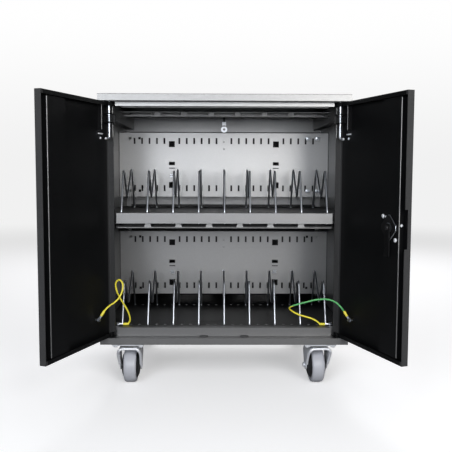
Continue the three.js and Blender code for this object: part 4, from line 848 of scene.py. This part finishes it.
class CART_OT_casters(bpy.types.Operator):
    """Builds the tyres, hubs and forks of the casters, and the bolts and seals of their plates"""

    bl_idname = "cart.casters"
    bl_label = "Casters"

    SEGMENTS = 72
    PLATE_FACE = 107.7
    BOLT_SPREAD = 31.0
    BOLT = [(5.6, 0.0), (5.9, -0.4), (5.9, -3.4), (5.4, -4.0), (2.6, -4.0), (2.2, -4.6), (0.6, -4.7)]
    SEAL = [(24.4, 107.4), (25.4, 107.2), (26.2, 105.8), (26.4, 104.0), (26.0, 102.2), (25.2, 101.0),
            (24.4, 100.9)]
    HUB = [(4.4, 22.4), (10.0, 22.4), (18.0, 21.9), (24.0, 20.7), (28.0, 18.9), (30.4, 16.8), (31.4, 14.9),
           (32.6, 14.4)]
    # Middle surface of a fork from its axle, in millimetres
    LEG_FOOT = (25.4, -12.0)
    LEG_HEAD = (27.5, 34.6)
    CROWN_HALF = 13.5
    CROWN_HEIGHT = 55.15
    LEG_END = 12.0
    FRONT_EDGE = [(-7.0, -9.7), (8.0, -18.5), (30.0, -34.5), (44.0, -46.5), (50.6, -54.0), (56.0, -54.0)]
    BACK_EDGE = [(1.9, 11.9), (22.0, 16.4), (36.0, 18.9), (42.6, 18.0), (50.0, 9.5), (56.0, 0.0)]
    PLATE_THICKNESS = 3.0
    ROLL_FROM = 5
    ROLL_RADIUS = 3.4
    ROLL_DROP = 1.2
    AXLE_HEAD = [(0.5, 29.2), (3.4, 29.0), (5.4, 28.2), (6.3, 27.0), (6.5, 25.6)]
    AXLE_RADIUS = 4.0
    NUT_REACH = 33.8

    def execute(self, context):
        sizes = sizes_of(context)
        outer = sizes.wheel_radius / MM
        half = sizes.wheel_width / 2 / MM
        flank = [(32.4, half - 1.6), (33.2, half - 0.7), (35.0, half - 0.2), (37.5, half),
                 (39.6, half - 0.5), (41.4, half - 1.9), (42.6, half - 4.0), (43.3, half - 7.0),
                 (outer, half - 11.5), (outer, 0)]
        tyre = [(r, -x) for r, x in flank] + [(r, x) for r, x in flank[-2::-1]]
        hub = [(r, -x) for r, x in self.HUB] + [(r, x) for r, x in self.HUB[::-1]]
        for corner in CORNERS:
            wheel = wheel_axes(corner)
            axle = wheel.axes[0]
            piece(f"{corner}_tyre", [revolved(tyre, wheel.origin, axle, self.SEGMENTS, loop=True)],
                  FINISHES["tyre"], f"{corner}_wheel", [f"{corner}_caster_wheel"])
            piece(f"{corner}_hub", [revolved(hub, wheel.origin, axle, self.SEGMENTS, loop=True)],
                  FINISHES["hub"], f"{corner}_wheel")
            self.fork(corner, wheel)
            king = np.array(JOINTS[f"{corner}_swivel"]["pos_m"])
            king[2] = 0.0
            seal = revolved(self.SEAL, king, UP, 48, loop=True)
            piece(f"{corner}_swivel_seal", [seal], FINISHES["hub"], "cabinet")
            king[2] = self.PLATE_FACE * MM
            bolts = []
            for x in (-1, 1):
                for y in (-1, 1):
                    centre = king + np.array([x, y, 0]) * self.BOLT_SPREAD * MM
                    bolts.append(revolved(self.BOLT, centre, UP, 6))
            piece(f"{corner}_plate_bolts", bolts, FINISHES["plated"], "cabinet", sharp=25)
        return {"FINISHED"}

    def fork(self, corner, wheel):
        """A pressed fork: an arch in x and z, carried from a front edge to a back edge in y.

        Each leg runs straight from foot to head and turns into the crown along a quarter of a
        superellipse. The edges follow the height, and close to a half circle round the axle.
        """
        rise = np.linspace(0, 1, 14)[:, None]
        leg = np.array(self.LEG_FOOT) * (1 - rise) + np.array(self.LEG_HEAD) * rise
        turn = np.linspace(0, math.pi / 2, 12)[1:]
        across, up = self.LEG_HEAD[0] - self.CROWN_HALF, self.CROWN_HEIGHT - self.LEG_HEAD[1]
        corner_x = self.CROWN_HALF + across * np.cos(turn) ** 0.8
        corner_z = self.LEG_HEAD[1] + up * np.sin(turn) ** 0.8
        side = np.concatenate([leg, np.stack([corner_x, corner_z], -1)])
        x = np.concatenate([side[:, 0], -side[::-1, 0]])
        z = np.concatenate([side[:, 1], side[::-1, 1]])
        round_end = np.sqrt(np.clip(self.LEG_END ** 2 - z ** 2, 0, None))
        (front_z, front_y), (back_z, back_y) = np.transpose(self.FRONT_EDGE), np.transpose(self.BACK_EDGE)
        front = np.where(z < front_z[0], -round_end, np.interp(z, front_z, front_y))
        back = np.where(z < back_z[0], round_end, np.interp(z, back_z, back_y))
        share = np.linspace(0, 1, 12)[None, :]
        y = front[:, None] * (1 - share) + back[:, None] * share
        grid = np.stack([np.broadcast_to(x[:, None], y.shape), y, np.broadcast_to(z[:, None], y.shape)], -1)
        pressed = piece(f"{corner}_fork", [open_grid(wheel(grid))], FINISHES["plated"], f"{corner}_swivel",
                        [f"{corner}_caster_fork"], 60)
        edge = wheel(grid[self.ROLL_FROM:-self.ROLL_FROM, 0] - [0, 0, self.ROLL_DROP])
        stations, widths = round_ended(edge, self.ROLL_RADIUS * MM)
        roll = skin(swept_rings(stations, widths, 12, -wheel.axes[1]))
        piece(f"{corner}_fork_roll", [roll], FINISHES["plated"], f"{corner}_swivel")
        plate = pressed.modifiers.new("plate", "SOLIDIFY")
        plate.thickness = self.PLATE_THICKNESS * MM
        plate.offset = 0.0
        nut = self.NUT_REACH if corner.endswith("right") else self.AXLE_HEAD[0][1]
        far = [(r, x + nut - self.AXLE_HEAD[0][1]) for r, x in self.AXLE_HEAD]
        shaft = [(self.AXLE_RADIUS, -self.AXLE_HEAD[-1][1]), (self.AXLE_RADIUS, self.AXLE_HEAD[-1][1])]
        pin = [(r, -x) for r, x in far] + shaft + self.AXLE_HEAD[::-1]
        piece(f"{corner}_axle", [revolved(pin, wheel.origin, wheel.axes[0], 24)], FINISHES["plated"],
              f"{corner}_swivel")


class CART_OT_folds(bpy.types.Operator):
    """Rounds the folded edges that catch the light, and paints shadow lines round the partitions with black beads
    """

    bl_idname = "cart.folds"
    bl_label = "Folded edges"

    RADIUS = 1.3
    HAT_EDGE = (250.0, HAT_FACE - 1.0)
    HAT_ENDS = (142.8, 683.4)
    GUARD_EDGE = (27.6, -4.6)
    HINGE_EDGE = (-19.2, -1.4)
    GUARD_ENDS = (628.2, 690.2)
    HINGE_ENDS = (612.0, 690.2)
    GAP_SHADOW_RADIUS = 1.3
    RAIL_EDGE = [(-250, 30.5, 685.3), (250, 30.5, 685.3)]
    RAIL_ROUND = 1.5
    BAR_EDGE = [(-262, 41.4, 394.9), (262, 41.4, 394.9)]
    BAR_ROUND = 1.6
    LANDS = [-187.5, -112.5, -37.5, 37.5, 112.5, 187.5]
    LAND_HALVES = (6.5, 10.5)
    LAND_HEIGHTS = (394.0, 405.6)
    LAND_DEPTHS = (41.0, 41.9)
    HEADER_EDGE = [(-274, 189.2, 676.0), (274, 189.2, 676.0)]
    HEADER_ROUND = 1.2
    HEADER_LANDS = [-176.2, -105.7, -35.2, 35.2, 105.7, 176.2]
    HEADER_HEIGHTS = (675.6, 688.6)
    HEADER_DEPTHS = (188.8, 189.8)
    RIM_CREST = [(-299.4, 0.3, 713.4), (299.4, 0.3, 713.4)]
    CREST_ROUND = 0.5
    RIM_HEM = [(-297, 1.6, 697.0), (297, 1.6, 697.0)]
    HEM_ROUND = 1.0

    def execute(self, context):
        runs = ((self.HAT_EDGE, self.HAT_ENDS), (self.GUARD_EDGE, self.GUARD_ENDS),
                (self.HINGE_EDGE, self.HINGE_ENDS))
        for name, side in (("left", 1), ("right", -1)):
            door = door_axes(name)
            along = door.direction((1, 0, 0))
            beads = [bead(door([(side * a, y, z) for z in ends]), self.RADIUS, along)
                     for (a, y), ends in runs]
            # The door beads take the cabinet's glossier powder coat, not the door's own coat: a painted highlight
            # along the folds
            piece(f"{name}_door_folds", beads, FINISHES["powder"], f"{name}_door")
        for level in LEVELS:
            low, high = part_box(f"{level}_partition")
            corners = np.array([(low.x, low.y, low.z), (low.x, low.y, high.z), (high.x, low.y, high.z),
                                (high.x, low.y, low.z)])
            # Black beads up the partitions' sides and along their tops: painted shadow in the gaps round their
            # edges
            gap_shadows = [bead(corners[i:i + 2], self.GAP_SHADOW_RADIUS, FRONT) for i in range(3)]
            piece(f"{level}_partition_gap_shadow", gap_shadows, FINISHES["hub"], "cabinet")
        piece("front_rail_fold", [bead(cart(self.RAIL_EDGE), self.RAIL_ROUND, FRONT)], FINISHES["powder"],
              "cabinet")
        bar = [bead(cart(self.BAR_EDGE), self.BAR_ROUND, FRONT)]
        bar += [self.land(x, self.LAND_HEIGHTS, self.LAND_DEPTHS) for x in self.LANDS]
        piece("shelf_bar_face", bar, FINISHES["powder"], "cabinet")
        header = [bead(cart(self.HEADER_EDGE), self.HEADER_ROUND, FRONT)]
        header += [self.land(x, self.HEADER_HEIGHTS, self.HEADER_DEPTHS) for x in self.HEADER_LANDS]
        # The header bar takes the copy of the coat with less sheen, as painted shade
        piece("header_bar_face", header, FINISHES["base_pan"], "cabinet")
        # Thin black beads: a painted dark line along the rim's top fold, and a painted shadow in the gap under its
        # front edge
        shade_lines = [bead(cart(self.RIM_CREST), self.CREST_ROUND, FRONT),
                  bead(cart(self.RIM_HEM), self.HEM_ROUND, FRONT)]
        piece("top_rim_edging", shade_lines, FINISHES["hub"], "cabinet")
        return {"FINISHED"}

    def land(self, x, heights, depths):
        """Metal between two slots: a rectangle carried up, whose width falls with the square of the rise."""
        rise = np.linspace(0, 1, 9)[:, None]
        top, foot = self.LAND_HALVES
        half = top + (foot - top) * (1 - rise) ** 2
        across = x + half * np.array([-1, 1, 1, -1])
        deep = np.broadcast_to(np.repeat(depths, 2), across.shape)
        low, high = heights
        up = np.broadcast_to(low + (high - low) * rise, across.shape)
        return skin(cart(np.stack([across, deep, up], -1)))


class CART_OT_fittings(bpy.types.Operator):
    """Adds the clips, rivets, bumpers and screws"""

    bl_idname = "cart.fittings"
    bl_label = "Small fittings"

    PARTITION_FACE = 327.0
    CLIPS = [(240, 627), (267, 627), (240, 478), (267, 478)]
    CLIP = [(-0.1, 0.4), (-0.5, 0.0), (-1.3, 0.0), (-1.6, 0.5)]
    CLIP_SCREW = [(2.6, -1.5), (2.6, -2.4), (1.9, -3.0), (0.5, -3.1)]
    RIVETS = [(0, 617), (0, 597), (0, 336.5), (0, 316.5)]
    RIVET = [(2.4, -0.05), (2.2, -0.5), (1.4, -0.9), (0.4, -1.0)]
    TIES = [(-147, 244), (147, 245), (-148, 521)]
    TIE = [(-0.1, 0.3), (-2.0, 0.0), (-3.4, 0.3), (-4.0, 1.0)]
    BRIGHT_RIVET = (-1.7, 248)
    BUMPERS = [-50.0, 49.0]
    BUMPER = [(11.0, 0.0), (10.8, 1.2), (9.8, 2.2), (7.6, 2.8), (4.0, 3.0), (1.0, 3.1)]
    EYE_RING = [(3.3, -1.1), (8.2, -1.1), (8.7, -0.6), (8.7, 0.6), (8.2, 1.1), (3.3, 1.1)]
    EYE_RISE = 9.0
    EYE_TAB = (15.5, 5.4, 5.2)
    EYE_STEM = 3.0
    EYE_SLAB = [(-1.2, 0.5), (-0.8, 0.0), (0.8, 0.0), (1.2, 0.5)]
    BUMPER_PLACE = (19.0, 130.1)
    BUMPER_SHARE = 0.3
    REAR_FACE = 490.0
    SCREW = [(4.2, 0.05), (4.1, 0.6), (3.3, 1.2), (1.8, 1.6), (0.5, 1.7)]
    SCREW_X = [-280, -140, 0, 140, 280]
    SCREW_Z = [142, 686]
    SIDE_SCREW_Z = [278, 414, 550]

    def execute(self, context):
        drawing = Local(SHIFT, np.eye(3))
        for i, (x, z) in enumerate(self.CLIPS):
            plate = rounded_slab(drawing, (x, self.PARTITION_FACE, z), (6.0, 4.6), self.CLIP, 8.0, 32)
            screw = revolved(self.CLIP_SCREW, cart((x, self.PARTITION_FACE, z)), -FRONT, 16)
            piece(f"partition_clip_{i + 1}", [plate, screw], FINISHES["zinc"], "cabinet")
        for i, (x, z) in enumerate(self.RIVETS):
            dome = revolved(self.RIVET, cart((x, self.PARTITION_FACE, z)), -FRONT, 16)
            piece(f"partition_rivet_{i + 1}", [dome], FINISHES["powder"], "cabinet")
        for i, (x, z) in enumerate(self.TIES):
            bars = [rounded_slab(drawing, (x, self.PARTITION_FACE, z + rise), (6.0, 1.6), self.TIE, 3.0, 24)
                    for rise in (-2.6, 2.6)]
            piece(f"tie_anchor_{i + 1}", bars, FINISHES["zinc"], "cabinet")
        x, z = self.BRIGHT_RIVET
        dome = revolved(self.RIVET, cart((x, self.PARTITION_FACE, z)), -FRONT, 16)
        piece("bright_rivet", [dome], FINISHES["zinc"], "cabinet")
        for i, x in enumerate(self.BUMPERS):
            points, faces = revolved(self.BUMPER, (0, 0, 0), UP, 32)
            points = points * [1, self.BUMPER_SHARE, 1] + cart((x, *self.BUMPER_PLACE))
            piece(f"door_bumper_{i + 1}", [(points, faces)], FINISHES["hub"], "cabinet")
        spots = [(x, z) for x in self.SCREW_X for z in self.SCREW_Z]
        spots += [(x, z) for x in (-280, 280) for z in self.SIDE_SCREW_Z]
        heads = [revolved(self.SCREW, cart((x, self.REAR_FACE, z)), -FRONT, 20) for x, z in spots]
        piece("rear_panel_screws", heads, FINISHES["zinc"], "cabinet")
        self.padlock_eye()
        return {"FINISHED"}

    def padlock_eye(self):
        """A ring and a square tab of bright steel on a dark stem."""
        low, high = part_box("padlock_eye")
        ring_height = low.z / MM + self.EYE_RISE
        stem_top = high.z / MM - ring_height
        local = Local([(low.x + high.x) / 2, (low.y + high.y) / 2, ring_height * MM], np.eye(3))
        rise, half_width, half_height = self.EYE_TAB
        ring = revolved(self.EYE_RING, local.origin, -FRONT, 40, loop=True)
        tab = rounded_slab(local, (0, 0, rise), (half_width, half_height), self.EYE_SLAB, 8.0)
        piece("padlock_eye_ring", [ring, tab], FINISHES["plated"], "cabinet", ["padlock_eye"])
        foot = self.EYE_RING[1][0] - 1
        middle, reach = (stem_top + foot) / 2, (stem_top - foot) / 2
        # Black stem: painted shade between the ring and the tab
        stem = rounded_slab(local, (0, 0.1, middle), (self.EYE_STEM, reach), self.EYE_SLAB, 12.0)
        piece("padlock_eye_stem", [stem], FINISHES["black"], "cabinet")


class CART_OT_stage(bpy.types.Operator):
    """Sets the floor, the light and the camera"""

    bl_idname = "cart.stage"
    bl_label = "Stage"

    FOCAL_PIXELS = 667.88
    IMAGE_SIDE = 452
    SENSOR = 36.0
    CAMERA = (-12.78, -1587.9, 525.6)
    YAW = 0.0101
    PITCH = 0.0826
    ROLL = 0.003
    SHIFT_Y = 0.0078
    GLOW = 0.4
    BOUNCE = (0.31, 0.31, 0.32)
    NEAR, FAR = 1.2, 6.0
    FILL = 0.06
    HAZE = 0.88
    TARGET = (0, 200, 420)
    LAMPS = [
        ("left_softbox", (-1000, -2450, 1180), (1.05, 1.2), 35, (0.93, 0.96, 1.0)),
        ("right_softbox", (1000, -2450, 1180), (1.05, 1.2), 44, (1.0, 0.985, 0.96)),
        ("front_fill", (0, -2300, 640), (1.4, 0.35), 12, (0.92, 0.95, 1.0)),
        ("rear_softbox", (300, 2700, 2300), (2.4, 1.6), 60, (1.0, 1.0, 1.0)),
    ]

    def execute(self, context):
        scene = context.scene
        scene.view_settings.view_transform = "Standard"
        self.camera(scene)
        self.floor(scene)
        self.world(scene)
        for name, place, size, power, colour in self.LAMPS:
            self.lamp(scene, name, place, size, power, colour)
        return {"FINISHED"}

    def camera(self, scene):
        data = bpy.data.cameras.new("photo_camera")
        data.sensor_width = self.SENSOR
        data.lens = self.SENSOR * self.FOCAL_PIXELS / self.IMAGE_SIDE
        data.shift_y = self.SHIFT_Y
        data.clip_end = 100.0
        made = bpy.data.objects.new("photo_camera", data)
        turn = Matrix.Rotation(-self.YAW, 4, "Z")
        turn = turn @ Matrix.Rotation(math.pi / 2 - self.PITCH, 4, "X") @ Matrix.Rotation(self.ROLL, 4, "Z")
        made.matrix_world = Matrix.Translation(cart(self.CAMERA)) @ turn
        scene.collection.objects.link(made)
        scene.camera = made

    def lamp(self, scene, name, place, size, power, colour):
        data = bpy.data.lights.new(name, "AREA")
        data.color = colour
        data.shape = "RECTANGLE"
        data.size, data.size_y = size
        data.energy = power
        made = bpy.data.objects.new(name, data)
        aim = cart(self.TARGET) - cart(place)
        back = -unit(aim)
        side = unit(np.cross(UP, back))
        axes = np.stack([side, np.cross(back, side), back], 1)
        made.matrix_world = Matrix.Translation(cart(place)) @ Matrix(axes.tolist()).to_4x4()
        scene.collection.objects.link(made)

    def floor(self, scene):
        """A flat floor: x and y on an even grid, z at nought."""
        x, y = np.meshgrid(np.linspace(-14, 14, 29), np.linspace(-14, 14, 29))
        points, faces = open_grid(np.stack([x, y, np.zeros_like(x)], -1))
        mesh = bpy.data.meshes.new("studio_floor")
        mesh.from_pydata(points.tolist(), [], faces)
        material = bpy.data.materials.new("studio_floor")
        material.use_nodes = True
        tree = material.node_tree
        tree.nodes.clear()
        out = add(tree, "ShaderNodeOutputMaterial")
        both = add(tree, "ShaderNodeAddShader")
        paper = add(tree, "ShaderNodeBsdfDiffuse")
        place = add(tree, "ShaderNodeTexCoord")
        away = add(tree, "ShaderNodeVectorMath", operation="LENGTH")
        tree.links.new(place.outputs["Object"], away.inputs[0])
        fade = add(tree, "ShaderNodeMapRange", interpolation_type="SMOOTHSTEP")
        for socket, value in (("From Min", self.NEAR), ("From Max", self.FAR)):
            fade.inputs[socket].default_value = value
        tree.links.new(away.outputs["Value"], fade.inputs["Value"])
        path = add(tree, "ShaderNodeLightPath")
        seen = mixed(tree, path.outputs["Is Camera Ray"], self.BOUNCE, tuple(scene.cart_colours.floor))
        tree.links.new(mixed(tree, fade.outputs[0], seen, (0.0, 0.0, 0.0)), paper.inputs["Color"])
        glow = add(tree, "ShaderNodeEmission")
        share = add(tree, "ShaderNodeMath", operation="MULTIPLY")
        tree.links.new(ramp(tree, fade.outputs[0], self.GLOW, self.HAZE), share.inputs[0])
        tree.links.new(path.outputs["Is Camera Ray"], share.inputs[1])
        tree.links.new(share.outputs[0], glow.inputs["Strength"])
        tree.links.new(paper.outputs[0], both.inputs[0])
        tree.links.new(glow.outputs[0], both.inputs[1])
        tree.links.new(both.outputs[0], out.inputs["Surface"])
        mesh.materials.append(material)
        made = bpy.data.objects.new("studio_floor", mesh)
        scene.collection.objects.link(made)

    def world(self, scene):
        """White to the camera, and a weak even fill for everything else."""
        made = bpy.data.worlds.new("studio")
        made.use_nodes = True
        tree = made.node_tree
        sky = tree.nodes["Background"]
        sky.inputs["Color"].default_value = (1.0, 1.0, 1.0, 1.0)
        path = add(tree, "ShaderNodeLightPath")
        place = add(tree, "ShaderNodeTexCoord")
        height = add(tree, "ShaderNodeSeparateXYZ")
        tree.links.new(place.outputs["Generated"], height.inputs[0])
        rise = add(tree, "ShaderNodeMapRange", interpolation_type="SMOOTHSTEP")
        for socket, value in (("From Max", 0.24), ("To Min", self.HAZE), ("To Max", 1.0)):
            rise.inputs[socket].default_value = value
        tree.links.new(height.outputs["Z"], rise.inputs["Value"])
        level = add(tree, "ShaderNodeMapRange")
        level.inputs["To Min"].default_value = self.FILL
        tree.links.new(rise.outputs[0], level.inputs["To Max"])
        tree.links.new(path.outputs["Is Camera Ray"], level.inputs["Value"])
        tree.links.new(level.outputs[0], sky.inputs["Strength"])
        scene.world = made


class CART_PT_build(bpy.types.Panel):
    """Lists the steps that build the cart, and what may be changed"""

    bl_idname = "CART_PT_build"
    bl_label = "Laptop charging cart"
    bl_space_type = "VIEW_3D"
    bl_region_type = "UI"
    bl_category = "Cart"

    def draw(self, context):
        for step in STEPS:
            self.layout.operator(step.bl_idname)
        for group in (context.scene.cart_sizes, context.scene.cart_colours):
            box = self.layout.box()
            for key in group.__annotations__:
                box.prop(group, key)


STEPS = (CART_OT_finishes, CART_OT_cords, CART_OT_dividers, CART_OT_hinges, CART_OT_lock,
         CART_OT_casters, CART_OT_folds, CART_OT_fittings, CART_OT_stage)
CLASSES = (CartSizes, CartColours, *STEPS, CART_PT_build)


def register():
    for item in CLASSES:
        bpy.utils.register_class(item)
    bpy.types.Scene.cart_sizes = bpy.props.PointerProperty(type=CartSizes)
    bpy.types.Scene.cart_colours = bpy.props.PointerProperty(type=CartColours)


def unregister():
    del bpy.types.Scene.cart_colours
    del bpy.types.Scene.cart_sizes
    for item in reversed(CLASSES):
        bpy.utils.unregister_class(item)


def main():
    register()
    bpy.ops.cart.finishes()
    bpy.ops.cart.cords()
    bpy.ops.cart.dividers()
    bpy.ops.cart.hinges()
    bpy.ops.cart.lock()
    bpy.ops.cart.casters()
    bpy.ops.cart.folds()
    bpy.ops.cart.fittings()
    bpy.ops.cart.stage()


if __name__ == "__main__":
    main()
